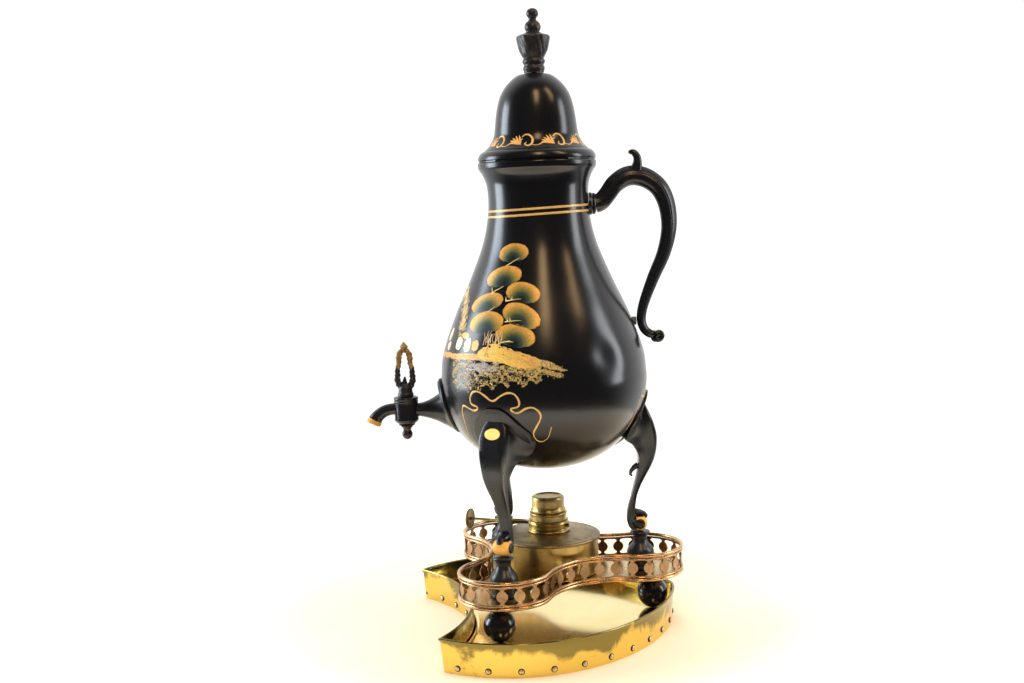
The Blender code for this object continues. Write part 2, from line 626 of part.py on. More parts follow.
ferrule_line = [(x, 0, 320.3 * MM) for x in (33 * MM, 41.6 * MM, FERRULE_END)]
ferrule = tube("handle_ferrule", ferrule_line, [8.1 * MM, 8.1 * MM, 6.6 * MM], 4)
boolean(ferrule, close_to_body)
keep(ferrule, japanned_casting)
boss = tube("handle_boss", [(64 * MM, 0, 231.6 * MM), (70.7 * MM, 0, 231.6 * MM)], [3.2 * MM, 3.2 * MM])
boolean(boss, close_to_body)
keep(boss, japanned_casting)


# Tap: a cast body of horn, barrel and spout, and a plug with an open-work key, held by a washer and a ball nut

def tap_line(points):
    """A smooth line through (x, height, radius) points in millimetres, as places and radii."""
    line = smooth_line(points, 2)
    return [(p.x * MM, 0, p.y * MM) for p in line], [p.z * MM for p in line]


tap_body = turned("tap_body", [(0, TAP_HIGH), (8.4 * MM, TAP_HIGH), (9.3 * MM, 179.2 * MM), (9.3 * MM, 177.9 * MM),
                               (9.0 * MM, 177.2 * MM), (9.0 * MM, 161.4 * MM), (7.6 * MM, TAP_LOW),
                               (0, TAP_LOW)], steps=18)
tap_body.location = (TAP_X, 0, 0)
horn = tube("horn", *tap_line([(-104.0, 169.6, 4.6), (-97.0, 169.8, 4.9), (-91.5, 169.9, 5.6),
                               (-86.5, 170.1, 7.3), (-81.5, 170.6, 9.8), (-76.5, 171.2, 13.2),
                               (-71.0, 172.6, 17.2), (-66.0, 174.3, 19.6)]), 3)
spout = tube("spout", *tap_line([(-106.0, 171.0, 4.6), (-113.5, 171.0, 4.5), (-119.5, 170.1, 4.5),
                                 (-124.6, 167.7, 4.6), (-128.1, 164.2, 5.1), (-129.7, 160.6, 5.7)]))
horn_bore = tube("horn_bore", *tap_line([(-104.8, 169.6, 3.0), (-90.0, 169.8, 3.0), (-75.0, 170.0, 3.0),
                                         (-60.0, 170.0, 3.0)]))
spout_bore = tube("spout_bore", *tap_line([(-104.8, 171.0, 2.6), (-113.5, 171.0, 2.8), (-119.5, 170.1, 2.9),
                                           (-124.6, 167.7, 3.1), (-128.1, 164.2, 3.6), (-129.7, 160.6, 4.2),
                                           (-130.6, 157.0, 4.4)]))
plug_bore = tube("plug_bore", [(TAP_X, 0, 150 * MM), (TAP_X, 0, 190 * MM)], [PLUG_BORE] * 2, 4)
for tool in (horn, spout):
    boolean(tap_body, set_aside(tool), "UNION")
boolean(tap_body, close_to_body)
for tool in (plug_bore, horn_bore, spout_bore):
    boolean(tap_body, set_aside(tool))
keep(tap_body, japanned_casting)

key = turned("tap_key", [(0, 190.0 * MM), (3.4 * MM, 189.4 * MM), (5.2 * MM, 186.4 * MM), (5.3 * MM, 183.0 * MM),
                         (5.9 * MM, 182.4 * MM), (5.9 * MM, TAP_HIGH + GAP), (PLUG_RADIUS, TAP_HIGH + GAP),
                         (PLUG_RADIUS, TAP_LOW + GAP), (1.8 * MM, TAP_LOW + GAP), (1.8 * MM, 154.6 * MM),
                         (0, 154.6 * MM)], steps=16)
key.location = (TAP_X, 0, 0)
for side in (-1, 1):
    arm_line = smooth_line([(2.4, 186.5, 2.3), (4.6, 191.5, 2.1), (4.5, 197.5, 2.2), (4.2, 202.0, 2.1),
                            (2.9, 207.8, 2.1), (2.6, 212.0, 2.0), (0.4, 215.8, 1.9)], 1)
    arm = tube("key_arm", [(TAP_X + side * p.x * MM, 0, p.y * MM) for p in arm_line],
               [p.z * MM for p in arm_line])
    boolean(key, set_aside(arm), "UNION")
bud = turned("key_bud", [(0, 221.6 * MM), (1.2 * MM, 220.8 * MM), (2.8 * MM, 218.0 * MM), (2.0 * MM, 216.2 * MM),
                         (2.7 * MM, 214.6 * MM), (0, 213.2 * MM)], steps=10)
bud.location = (TAP_X, 0, 0)
boolean(key, set_aside(bud), "UNION")
port = tube("plug_port", [(TAP_X, -10 * MM, 170 * MM), (TAP_X, 10 * MM, 170 * MM)], [2.6 * MM] * 2)
boolean(key, set_aside(port))
keep(key, japanned_casting)

washer = turned("tap_washer", [(2.2 * MM, TAP_LOW - GAP), (6.2 * MM, TAP_LOW - GAP), (6.2 * MM, 158.6 * MM),
                               (2.2 * MM, 158.6 * MM)], steps=16, ring=True)
washer.location = (TAP_X, 0, 0)
keep(washer, aged_brass)
nut = turned("tap_nut", [(2.2 * MM, 158.2 * MM), (4.7 * MM, 158.2 * MM), (3.4 * MM, 156.2 * MM),
                         (2.9 * MM, 154.6 * MM), (3.8 * MM, 152.4 * MM), (3.9 * MM, 151.0 * MM),
                         (3.1 * MM, 148.9 * MM), (0, 147.4 * MM), (0, 153.9 * MM), (2.2 * MM, 153.9 * MM)],
             steps=12, ring=True)
nut.location = (TAP_X, 0, 0)
keep(nut, gunmetal)


# Legs: three cast cabriole legs, each on a shield plate against the belly

def leg_section(outer, inner, front_half, back_half):
    """Eight points round a leg, between its outer and inner edges in side view. The front is flat with
    cut corners, and the sides flare towards the back."""
    outer, inner = Vector(outer) * MM, Vector(inner) * MM
    front, back = front_half * MM, back_half * MM
    across = (0.7 * front, front, front + 0.25 * (back - front), back)
    ring = []
    for depth, y in zip((0, 0.12, 0.55, 1), across):
        place = outer.lerp(inner, depth)
        ring.append((place.x, y, place.y))
    return ring + [(x, -y, z) for x, y, z in reversed(ring)]


leg_sections = [((75.6, 168.8), (66.0, 167.6), 8.0, 17.0), ((78.0, 163.4), (64.0, 161.0), 10.6, 23.0),
                ((80.9, 155.4), (60.0, 153.0), 11.0, 25.5), ((83.1, 146.4), (57.0, 145.0), 10.2, 21.0),
                ((83.3, 138.5), (66.0, 140.0), 9.2, 12.0), ((82.3, 130.5), (69.3, 130.6), 8.2, 8.8),
                ((79.6, 123.0), (69.8, 122.6), 7.2, 7.2), ((75.6, 115.7), (68.5, 115.2), 6.1, 6.0),
                ((71.0, 107.0), (66.3, 106.6), 5.2, 5.2), ((68.2, 99.9), (64.0, 98.6), 4.7, 4.7),
                ((66.8, 92.8), (61.8, 91.6), 4.3, 4.3), ((66.1, 84.8), (60.0, 83.6), 4.2, 4.2),
                ((67.0, 78.0), (60.7, 76.4), 4.3, 4.3), ((68.6, 74.0), (64.2, 72.0), 4.4, 4.4)]


def shield_outline():
    """The shield plate's front view, as (sideways, height) points."""
    half = [(1.0, 178.8), (6.0, 178.2), (10.6, 175.4), (18.5, 168.0), (22.6, 161.0), (22.8, 153.4),
            (18.2, 147.2), (10.6, 141.4), (1.0, 136.6)]
    return [Vector(p) * MM for p in half] + [Vector((-y, z)) * MM for y, z in reversed(half)]


def shield_plate(name):
    """The plate's outline, run through the belly's wall and kept only just outside the belly."""
    upright = Matrix(((0, 0, 1, 0), (1, 0, 0, 0), (0, 1, 0, 0), (0, 0, 0, 1)))
    plate = slab(name, [shield_outline()], 45 * MM, 85 * MM)
    plate.data.transform(upright)
    boolean(plate, over_plates, "INTERSECT")
    boolean(plate, close_to_body)
    return plate


for side, facing in LEG_ANGLES.items():
    turn = Matrix.Rotation(math.radians(facing), 4, "Z")
    leg = loft("leg_" + side, [leg_section(*section) for section in leg_sections])
    toe = tube("toe_" + side, [(69.4 * MM, -6.7 * MM, 77.1 * MM), (69.4 * MM, 6.7 * MM, 77.1 * MM)],
               [TOE_RADIUS] * 2, 4)
    leaf = box("toe_leaf_" + side, (66.0 * MM, -4.4 * MM, 80.0 * MM), (74.4 * MM, 4.4 * MM, 84.6 * MM))
    spur = box("leg_spur_" + side, (62.6 * MM, -2.6 * MM, 115.2 * MM), (70.0 * MM, 2.6 * MM, 120.2 * MM))
    for tool in (toe, leaf, spur):
        set_aside(tool).matrix_local = turn
        boolean(leg, tool, "UNION")
    boolean(leg, clear_of_plates)
    keep(leg, japanned_casting).matrix_local = turn
    keep(shield_plate("leg_plate_" + side), japanned_casting).matrix_local = turn
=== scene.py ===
import math
import random

import bpy
from mathutils import Matrix, Vector


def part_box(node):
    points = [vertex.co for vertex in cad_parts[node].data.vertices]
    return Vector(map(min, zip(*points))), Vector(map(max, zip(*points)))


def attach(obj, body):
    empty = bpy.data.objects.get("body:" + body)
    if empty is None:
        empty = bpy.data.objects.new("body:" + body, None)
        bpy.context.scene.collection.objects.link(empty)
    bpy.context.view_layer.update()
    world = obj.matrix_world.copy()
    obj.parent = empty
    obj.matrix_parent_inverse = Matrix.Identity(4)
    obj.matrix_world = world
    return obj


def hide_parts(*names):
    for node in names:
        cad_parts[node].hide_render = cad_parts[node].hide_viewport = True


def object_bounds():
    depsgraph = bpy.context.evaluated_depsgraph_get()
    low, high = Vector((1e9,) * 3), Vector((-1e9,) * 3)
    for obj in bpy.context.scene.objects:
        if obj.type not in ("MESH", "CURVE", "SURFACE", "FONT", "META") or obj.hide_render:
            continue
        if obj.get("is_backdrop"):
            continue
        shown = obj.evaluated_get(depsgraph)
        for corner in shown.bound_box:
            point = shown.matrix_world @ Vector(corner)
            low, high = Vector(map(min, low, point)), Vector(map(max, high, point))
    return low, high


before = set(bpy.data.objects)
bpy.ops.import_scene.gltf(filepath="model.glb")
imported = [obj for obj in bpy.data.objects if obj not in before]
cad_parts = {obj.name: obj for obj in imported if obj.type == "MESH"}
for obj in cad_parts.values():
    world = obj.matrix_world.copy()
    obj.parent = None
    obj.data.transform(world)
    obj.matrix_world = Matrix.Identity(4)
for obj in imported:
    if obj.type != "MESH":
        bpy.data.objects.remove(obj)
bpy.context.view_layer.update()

MM = 0.001

# ---------------------------------------------------------------------------------------------------
# Drip tray. Sheet brass: a pointed floor with its edge turned down, and a flared wall that is riveted
# round it. The wall's top edge is rolled over, and its two hollow-side corners stay sharp.

body_low, body_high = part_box("urn_body")
AXIS = Vector(((body_low.x + body_high.x) / 2, (body_low.y + body_high.y) / 2, 0))


def deselect_all():
    if bpy.context.object and bpy.context.object.mode != "OBJECT":
        bpy.ops.object.mode_set(mode="OBJECT")
    bpy.ops.object.select_all(action="DESELECT")


def only(obj):
    deselect_all()
    obj.select_set(True)
    bpy.context.view_layer.objects.active = obj


def edit(obj, *steps):
    """Run edit-mode operators, given as (operator, values) pairs, on everything in the mesh."""
    only(obj)
    bpy.ops.object.mode_set(mode="EDIT")
    bpy.ops.mesh.select_all(action="SELECT")
    for operator, values in steps:
        operator(**values)
    bpy.ops.object.mode_set(mode="OBJECT")


def apply_modifier(obj, kind, **values):
    only(obj)
    step = obj.modifiers.new(kind.lower(), kind)
    for key, value in values.items():
        setattr(step, key, value)
    bpy.ops.object.modifier_apply(modifier=step.name)


def finish_with(mesh, *looks):
    mesh.materials.clear()
    for look in looks:
        mesh.materials.append(look)


def dress(name, look):
    """Give its finish to a CAD node that is shown as it is."""
    finish_with(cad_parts[name].data, look)


def add_piece(obj, name, body, look=None, stands_for=(), crease=35):
    """Name a finished piece, shade it, give it its finish and let it ride on its body. A piece with two
    finishes has them on its faces already, and is given no look."""
    only(obj)
    bpy.ops.object.shade_smooth_by_angle(angle=math.radians(crease))
    obj.name = name
    obj.data.name = name
    if look:
        finish_with(obj.data, look)
    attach(obj, body)
    if stands_for:
        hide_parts(*stands_for)
    return obj


def grid_through(rows, closed_across=True, closed_along=False, fill=False):
    """A grid laid through rows of points: round pieces close across a row, and rails close along the rows."""
    across, along = len(rows[0]) + closed_across, len(rows) + closed_along
    deselect_all()
    bpy.ops.mesh.primitive_grid_add(x_subdivisions=across - 1, y_subdivisions=along - 1, size=1)
    obj = bpy.context.object
    for i, vertex in enumerate(obj.data.vertices):
        row, place = divmod(i, across)
        vertex.co = rows[row % len(rows)][place % len(rows[0])]
    edit(obj, (bpy.ops.mesh.remove_doubles, {"threshold": 0.00001}))
    if fill:
        edit(obj, (bpy.ops.mesh.select_all, {"action": "DESELECT"}),
             (bpy.ops.mesh.select_non_manifold, {}), (bpy.ops.mesh.edge_face_add, {}))
    edit(obj, (bpy.ops.mesh.normals_make_consistent, {"inside": False}))
    return obj


def turns(count):
    """The angles of a circle's equal steps, in radians."""
    return [2 * math.pi * i / count for i in range(count)]


def polar(radius, degrees):
    turn = math.radians(degrees)
    return Vector((radius * math.cos(turn), radius * math.sin(turn), 0))


def smooth_line(points, per_span):
    """Points along a smooth curve that passes through every given point."""
    points = [Vector(p) for p in points]
    ends = [points[0] * 2 - points[1]] + points + [points[-1] * 2 - points[-2]]
    line = []
    for before, start, end, after in zip(ends, ends[1:], ends[2:], ends[3:]):
        for i in range(per_span):
            t = i / per_span
            bend = (before * 2 - start * 5 + end * 4 - after) * t * t
            twist = (start * 3 - before - end * 3 + after) * t * t * t
            line.append((start * 2 + (end - before) * t + bend + twist) / 2)
    return line + [points[-1]]


def node_maker(tree):
    """A function that adds a node to the tree, with its inputs and settings given by name."""
    def node(kind, **values):
        new = tree.nodes.new(kind)
        for key, value in values.items():
            if key in new.inputs:
                new.inputs[key].default_value = value
            else:
                setattr(new, key, value)
        return new

    return node


def nodes_of(name):
    """A new material, a maker of its nodes, a linker and its shader."""
    made = bpy.data.materials.new(name)
    made.use_nodes = True
    tree = made.node_tree
    return made, node_maker(tree), tree.links.new, tree.nodes["Principled BSDF"]


def ramp_between(node, link, source, low, high, start, end):
    """A colour ramp from one colour or value to another, driven by a source socket."""
    ramp = node("ShaderNodeValToRGB")
    for stop, place, value in zip(ramp.color_ramp.elements, (low, high), (start, end)):
        stop.position = place
        stop.color = (*value, 1) if isinstance(value, tuple) else (value, value, value, 1)
    link(source, ramp.inputs["Fac"])
    return ramp.outputs["Color"]


def mixed(node, link, share, first, second):
    mix = node("ShaderNodeMix", data_type="RGBA")
    link(share, mix.inputs["Factor"])
    for socket, value in ((mix.inputs[6], first), (mix.inputs[7], second)):
        if isinstance(value, tuple):
            socket.default_value = (*value, 1)
        else:
            link(value, socket)
    return mix.outputs[2]


def uneven_gloss(node, link, shader, source, gloss, spread):
    """Roughness that a texture carries from gloss up to spread times as much."""
    rough = node("ShaderNodeMapRange")
    rough.inputs["To Min"].default_value = gloss
    rough.inputs["To Max"].default_value = gloss * spread
    link(source, rough.inputs["Value"])
    link(rough.outputs["Result"], shader.inputs["Roughness"])


def two_bumps(node, link, shader, coarse, fine):
    """Two layers of bump, each given as (texture, strength, distance)."""
    normal = None
    for texture, strength, distance in (coarse, fine):
        bump = node("ShaderNodeBump", Strength=strength, Distance=distance)
        link(texture.outputs["Fac"], bump.inputs["Height"])
        if normal:
            link(normal, bump.inputs["Normal"])
        normal = bump.outputs["Normal"]
    link(normal, shader.inputs["Normal"])


def worn_brass(name, bright, dull, stain, gloss, patches, stained, metallic=1.0, grain=0.12, smudged=None):
    """Brass with cloudy tarnish, spots of stain, fine rubbing marks and an uneven gloss.
    Smudged gives the heights between which hands have dulled it, in metres."""
    made, node, link, shader = nodes_of(name)
    place = node("ShaderNodeTexCoord").outputs["Object"]
    cloud = node("ShaderNodeTexNoise", Scale=patches, Detail=6.0, Roughness=0.62, Distortion=0.6)
    spots = node("ShaderNodeTexNoise", Scale=patches * 5.3, Detail=5.0, Roughness=0.7)
    rub = node("ShaderNodeTexNoise", Scale=1900.0, Detail=3.0, Roughness=0.6)
    for texture in (cloud, spots, rub):
        link(place, texture.inputs["Vector"])
    tarnish = ramp_between(node, link, cloud.outputs["Fac"], 0.35, 0.68, 0.0, 1.0)
    if smudged:
        height = node("ShaderNodeSeparateXYZ")
        link(place, height.inputs["Vector"])
        rise = node("ShaderNodeMapRange")
        rise.inputs["From Min"].default_value, rise.inputs["From Max"].default_value = smudged
        rise.inputs["To Min"].default_value, rise.inputs["To Max"].default_value = -0.16, 0.17
        link(height.outputs["Z"], rise.inputs["Value"])
        raised = node("ShaderNodeMath", operation="ADD")
        link(cloud.outputs["Fac"], raised.inputs[0])
        link(rise.outputs["Result"], raised.inputs[1])
        tarnish = ramp_between(node, link, raised.outputs["Value"], 0.50, 0.58, 0.0, 1.0)
    tone = mixed(node, link, tarnish, bright, dull)
    spotted = ramp_between(node, link, spots.outputs["Fac"], 0.62 - stained, 0.78 - stained, 0.0, 0.8)
    link(mixed(node, link, spotted, tone, stain), shader.inputs["Base Color"])
    shader.inputs["Metallic"].default_value = metallic
    uneven_gloss(node, link, shader, spots.outputs["Fac"], gloss, 2.4)
    dents = node("ShaderNodeTexNoise", Scale=46.0, Detail=2.0)
    link(place, dents.inputs["Vector"])
    two_bumps(node, link, shader, (dents, grain, 0.0004), (rub, grain * 0.8, 0.00005))
    return made


tray_brass = worn_brass("polished_tray_brass", (0.84, 0.60, 0.14), (0.27, 0.22, 0.07), (0.22, 0.16, 0.05),
                        0.10, 26.0, -0.04, smudged=(0.004, 0.026))
floor_brass = worn_brass("polished_floor_brass", (0.92, 0.76, 0.36), (0.84, 0.64, 0.22), (0.50, 0.36, 0.12),
                         0.07, 14.0, -0.03)
rivet_brass = worn_brass("rivet_metal", (0.72, 0.64, 0.46), (0.55, 0.47, 0.30), (0.16, 0.12, 0.07),
                         0.22, 160.0, 0.06)

TRAY_TURN = 7.6                         # the tray lies a little askew, in degrees
TRAY_LENGTH = 185.0 * MM
TRAY_HALF_WIDTH = 110.5 * MM
TRAY_WIDEST = 62.0 * MM
TRAY_CORNERS_X = -90.5 * MM
TRAY_NOTCH = 30.0 * MM
TRAY_SHEET = 0.9 * MM
FLOOR_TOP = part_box("tray_floor")[1].z
TRAY_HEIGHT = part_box("tray_wall")[1].z


def tray_outline(side_steps=60, hollow_steps=60):
    """The tray's plan, anticlockwise from its front corner: a bulging side, the tip, the other side, the hollow."""
    def half_width(u):
        if u < TRAY_WIDEST:
            return TRAY_HALF_WIDTH * math.sqrt(1 - ((TRAY_WIDEST - u) / (100 * MM)) ** 2)
        along = (u - TRAY_WIDEST) / (TRAY_LENGTH - TRAY_WIDEST)
        return TRAY_HALF_WIDTH * max(0.0, 1 - along * along) ** 0.69

    low_steps = side_steps // 4
    stations = [TRAY_WIDEST * i / low_steps for i in range(low_steps)]
    for i in range(side_steps):
        stations.append(TRAY_WIDEST + (TRAY_LENGTH - TRAY_WIDEST) * math.sin(math.pi / 2 * i / side_steps))
    side = [Vector((u, -half_width(u), 0)) for u in stations]
    tip = [Vector((TRAY_LENGTH, 0, 0))]
    corner = half_width(0)
    radius = (corner ** 2 + TRAY_NOTCH ** 2) / (2 * TRAY_NOTCH)
    sweep = math.degrees(math.asin(corner / radius))
    hollow = [Vector((TRAY_NOTCH - radius, 0, 0)) + polar(radius, sweep - 2 * sweep * i / hollow_steps)
              for i in range(1, hollow_steps)]
    other_side = [Vector((p.x, -p.y, 0)) for p in reversed(side)]
    turn = Matrix.Rotation(math.radians(TRAY_TURN), 3, "Z")
    return [AXIS + turn @ (p + Vector((TRAY_CORNERS_X, 0, 0))) for p in side + tip + other_side + hollow]


def outward_normals(outline):
    """The outward direction at each point of a closed outline, stretched where a corner has to stay sharp."""
    found = []
    for before, here, after in zip(outline[-1:] + outline, outline, outline[1:] + outline[:1]):
        first = (here - before).normalized()
        second = (after - here).normalized()
        normal = Vector((first.y + second.y, -first.x - second.x, 0)).normalized()
        found.append(normal / max(0.3, normal.dot(Vector((first.y, -first.x, 0)))))
    return found


tray_plan = tray_outline()
tray_normals = outward_normals(tray_plan)
# (height, outward offset) round the wall's section: up the outside, over the rolled edge, down the inside
wall_section = [(0.0, 0.0), (1.2, 0.0), (8.0, 0.45), (16.0, 0.95), (21.6, 1.25), (22.6, 1.75), (23.3, 2.15),
                (23.9, 2.45), (24.5, 2.3), (24.9, 1.8), (24.8, 1.2), (24.2, 0.6), (23.0, 0.32), (16.0, 0.05),
                (8.0, -0.45), (1.2, -0.9), (0.0, -0.9)]


def round_tray(section):
    """Rows of points round the tray's plan, from (height, outward offset) pairs in millimetres."""
    return [[p + n * (out * MM) + Vector((0, 0, z * MM)) for p, n in zip(tray_plan, tray_normals)]
            for z, out in section]


wall = grid_through(round_tray(wall_section), closed_along=True)
add_piece(wall, "tray_wall_rolled", "tray", tray_brass, ["tray_wall"], crease=50)

floor_top = FLOOR_TOP / MM
floor_section = [(0.6, -1.3), (floor_top - 1.6, -1.3), (floor_top - 0.6, -1.6), (floor_top, -2.6),
                 (floor_top, -5.0)]
tray_floor = grid_through(round_tray(floor_section))
innermost_row = len(tray_plan) * (len(floor_section) - 1)
only(tray_floor)
bpy.ops.object.mode_set(mode="EDIT")
bpy.ops.mesh.select_mode(type="VERT")
bpy.ops.mesh.select_all(action="DESELECT")
bpy.ops.object.mode_set(mode="OBJECT")
for vertex in tray_floor.data.vertices[innermost_row:]:
    vertex.select = True
bpy.ops.object.mode_set(mode="EDIT")
bpy.ops.mesh.edge_face_add()
bpy.ops.mesh.select_all(action="SELECT")
bpy.ops.mesh.normals_make_consistent(inside=False)
bpy.ops.object.mode_set(mode="OBJECT")
apply_modifier(tray_floor, "SOLIDIFY", thickness=TRAY_SHEET * 0.9, offset=-1)
add_piece(tray_floor, "tray_floor_pressed", "tray", floor_brass, ["tray_floor"], crease=40)

RIVET_PITCH = 22.8 * MM
RIVET_HEIGHT = 4.6 * MM
RIVET_RADIUS = 2.35 * MM
RIVET_PROUD = 0.3 * MM
RIVET_HEAD = 0.72                       # of its radius, where the dome ends and the seat begins


seat_black = worn_brass("tarnished_rivet_seat", (0.10, 0.07, 0.03), (0.04, 0.03, 0.015), (0.02, 0.015, 0.01),
                        0.4, 200.0, 0.0)


def rivet(place, outward, radius):
    """A low domed rivet head in the dark ring of tarnish round its seat, facing outward."""
    deselect_all()
    bpy.ops.mesh.primitive_uv_sphere_add(segments=18, ring_count=12, radius=radius)
    head = bpy.context.object
    finish_with(head.data, rivet_brass, seat_black)
    for vertex in head.data.vertices:
        flat = math.hypot(vertex.co.x, vertex.co.y) / radius
        if vertex.co.z > 0 and flat > RIVET_HEAD:
            vertex.co.z = 0.10 * radius
        else:
            vertex.co.z = vertex.co.z * (0.40 if vertex.co.z > 0 else 0.15) + 0.05 * radius * (flat < 0.4)
    for face in head.data.polygons:
        face.material_index = int(math.hypot(face.center.x, face.center.y) > (RIVET_HEAD + 0.04) * radius)
    head.data.transform(Matrix.Translation(place) @ outward.to_track_quat("Z", "Y").to_matrix().to_4x4())
    return head


def joined(objects):
    deselect_all()
    for obj in objects:
        obj.select_set(True)
    bpy.context.view_layer.objects.active = objects[0]
    bpy.ops.object.join()
    return bpy.context.object


heads = []
travelled = RIVET_PITCH / 2
count = len(tray_plan)
for i in range(count):
    here, after = tray_plan[i], tray_plan[(i + 1) % count]
    step = (after - here).length
    while travelled <= step:
        share = travelled / step
        outward = tray_normals[i].lerp(tray_normals[(i + 1) % count], share).normalized()
        place = here.lerp(after, share) + outward * RIVET_PROUD
        heads.append(rivet(place + Vector((0, 0, RIVET_HEIGHT)), outward, RIVET_RADIUS))
        travelled += RIVET_PITCH
    travelled -= step
add_piece(joined(heads), "tray_rivets", "tray", crease=50)

# ---------------------------------------------------------------------------------------------------
# Stand. A trefoil plate of rose brass with a gallery standing on it: a band pierced with waisted
# openings between round discs, soldered between a bottom rail and a top rail.

# Painted reflection: the band's brass is darkened to stand for the dark room it reflects in front.
rose_brass_darkened_as_reflection = worn_brass("rose_brass_darkened_as_reflection", (0.44, 0.27, 0.14), (0.21, 0.13, 0.065), (0.08, 0.05, 0.03),
                        0.19, 60.0, 0.04)
rail_brass = worn_brass("rail_brass", (0.78, 0.50, 0.26), (0.52, 0.31, 0.14), (0.24, 0.14, 0.07),
                        0.15, 75.0, 0.03)
plate_brass = worn_brass("plate_brass", (0.72, 0.53, 0.24), (0.55, 0.38, 0.16), (0.20, 0.13, 0.06),
                         0.15, 40.0, 0.04)

LOBE_RADIUS = 33.0 * MM
LOBE_CENTRE = 68.0 * MM
WAIST_RADIUS = 53.0 * MM
WAIST_CENTRE = 96.8 * MM
LOBE_SPAN = 103.2
WAIST_SPAN = 43.2
RAIL_RADIUS = 1.4 * MM
BEAD_RADIUS = 0.55 * MM
BEAD_ASIDE = 2.35 * MM
BOTTOM_RAIL_Z = 41.0 * MM
TOP_RAIL_Z = 59.3 * MM
OPENINGS_PER_THIRD = 16
LOBE_LENGTH = LOBE_RADIUS * math.radians(2 * LOBE_SPAN)
WAIST_LENGTH = WAIST_RADIUS * math.radians(2 * WAIST_SPAN)
GALLERY_LENGTH = 3 * (LOBE_LENGTH + WAIST_LENGTH)


def along_gallery(distance):
    """(place, outward direction) at a distance along the gallery's line, anticlockwise."""
    third, rest = divmod(distance % GALLERY_LENGTH, LOBE_LENGTH + WAIST_LENGTH)
    facing = 120 * third
    if rest < LOBE_LENGTH:
        turn = facing - LOBE_SPAN + math.degrees(rest / LOBE_RADIUS)
        return AXIS + polar(LOBE_CENTRE, facing) + polar(LOBE_RADIUS, turn), polar(1, turn)
    inward = facing + 240 + WAIST_SPAN - math.degrees((rest - LOBE_LENGTH) / WAIST_RADIUS)
    return AXIS + polar(WAIST_CENTRE, facing + 60) + polar(WAIST_RADIUS, inward), polar(1, inward + 180)


def rail(section, steps=288):
    """A closed rail round the gallery with a section of (outward, height) points."""
    stations = [along_gallery(GALLERY_LENGTH * i / steps) for i in range(steps)]
    rows = [[p + n * out + Vector((0, 0, z)) for out, z in section] for p, n in stations]
    return grid_through(rows, closed_along=True)


def ring_section(radius, out, z, count=12):
    return [(out + radius * math.cos(turn), z + radius * math.sin(turn)) for turn in turns(count)]


for name, z in (("gallery_bottom_rail", BOTTOM_RAIL_Z), ("gallery_top_rail", TOP_RAIL_Z)):
    towards_band = 1 if name == "gallery_bottom_rail" else -1
    main = rail(ring_section(RAIL_RADIUS, 0, z))
    bead = rail(ring_section(BEAD_RADIUS, BEAD_RADIUS, z + towards_band * BEAD_ASIDE, 8))
    add_piece(joined([main, bead]), name + "_beaded", "stand", rail_brass, [name], crease=60)

BAND_SHEET = 0.9 * MM
PITCH = GALLERY_LENGTH / (3 * OPENINGS_PER_THIRD)
DISC_RADIUS = 4.05 * MM
OPENING_HALF_HEIGHT = 5.75 * MM
BAND_HALF_HEIGHT = 7.4 * MM
NECK_HALF_WIDTH = 1.35 * MM


def opening_quarter():
    """A quarter of an opening's edge, as (along, height): round a disc, past its neck, to the top's middle."""
    half = PITCH / 2
    steps = 6
    sweep = math.radians(58)
    disc = [(half - DISC_RADIUS * math.cos(sweep * i / steps), DISC_RADIUS * math.sin(sweep * i / steps))
            for i in range(steps + 1)]
    side = half - NECK_HALF_WIDTH
    high = OPENING_HALF_HEIGHT
    corner = [(side, 0.71 * high), (side + 0.1 * MM, 0.82 * high), (side - 0.5 * MM, 0.94 * high),
              (side - 1.3 * MM, high), (side - 2.6 * MM, 1.03 * high), (0.0, 1.02 * high)]
    return disc + corner


quarter = opening_quarter()
edge_line = quarter + [(-s, z) for s, z in reversed(quarter[:-1])]
edge_line += [(-s, -z) for s, z in quarter[1:]] + [(s, -z) for s, z in reversed(quarter[1:-1])]
half_pitch = PITCH / 2
rim_line = []
for s, z in edge_line:
    share = abs(z) / OPENING_HALF_HEIGHT
    if abs(s) >= 0.8 * (half_pitch - NECK_HALF_WIDTH) and share < 0.95 or share < 0.65:
        rim_line.append((math.copysign(half_pitch, s), math.copysign(min(1, share * 1.02), z) * BAND_HALF_HEIGHT))
    else:
        out = min(1.0, abs(s) / (half_pitch - NECK_HALF_WIDTH - 1.0 * MM))
        rim_line.append((math.copysign(out * half_pitch, s), math.copysign(BAND_HALF_HEIGHT, z)))
band_middle = (BOTTOM_RAIL_Z + TOP_RAIL_Z) / 2
cells = []
for i in range(3 * OPENINGS_PER_THIRD):
    rows = []
    for share in (0.0, 0.4, 1.0):
        row = []
        for (s, z), (rim_s, rim_z) in zip(edge_line, rim_line):
            here, outward = along_gallery((i + 0.5) * PITCH + s + (rim_s - s) * share)
            row.append(here + Vector((0, 0, band_middle + z + (rim_z - z) * share)))
        rows.append(row)
    cells.append(grid_through(rows))
band = joined(cells)
edit(band, (bpy.ops.mesh.remove_doubles, {"threshold": 0.00003}),
     (bpy.ops.mesh.normals_make_consistent, {"inside": False}))
apply_modifier(band, "SOLIDIFY", thickness=BAND_SHEET, offset=0)
add_piece(band, "gallery_band_pierced", "stand", rose_brass_darkened_as_reflection, ["gallery_band"], crease=40)
dress("stand_plate", plate_brass)

# ---------------------------------------------------------------------------------------------------
# Ball feet and lift-off pads. Turned hardwood, painted black and rubbed grey on the edges. Each foot's
# tenon goes through the plate, and each pad is screwed to the plate and carries one toe of the urn.

LEG_ANGLES = {"right": 0.0, "front": -120.0, "back": 120.0}


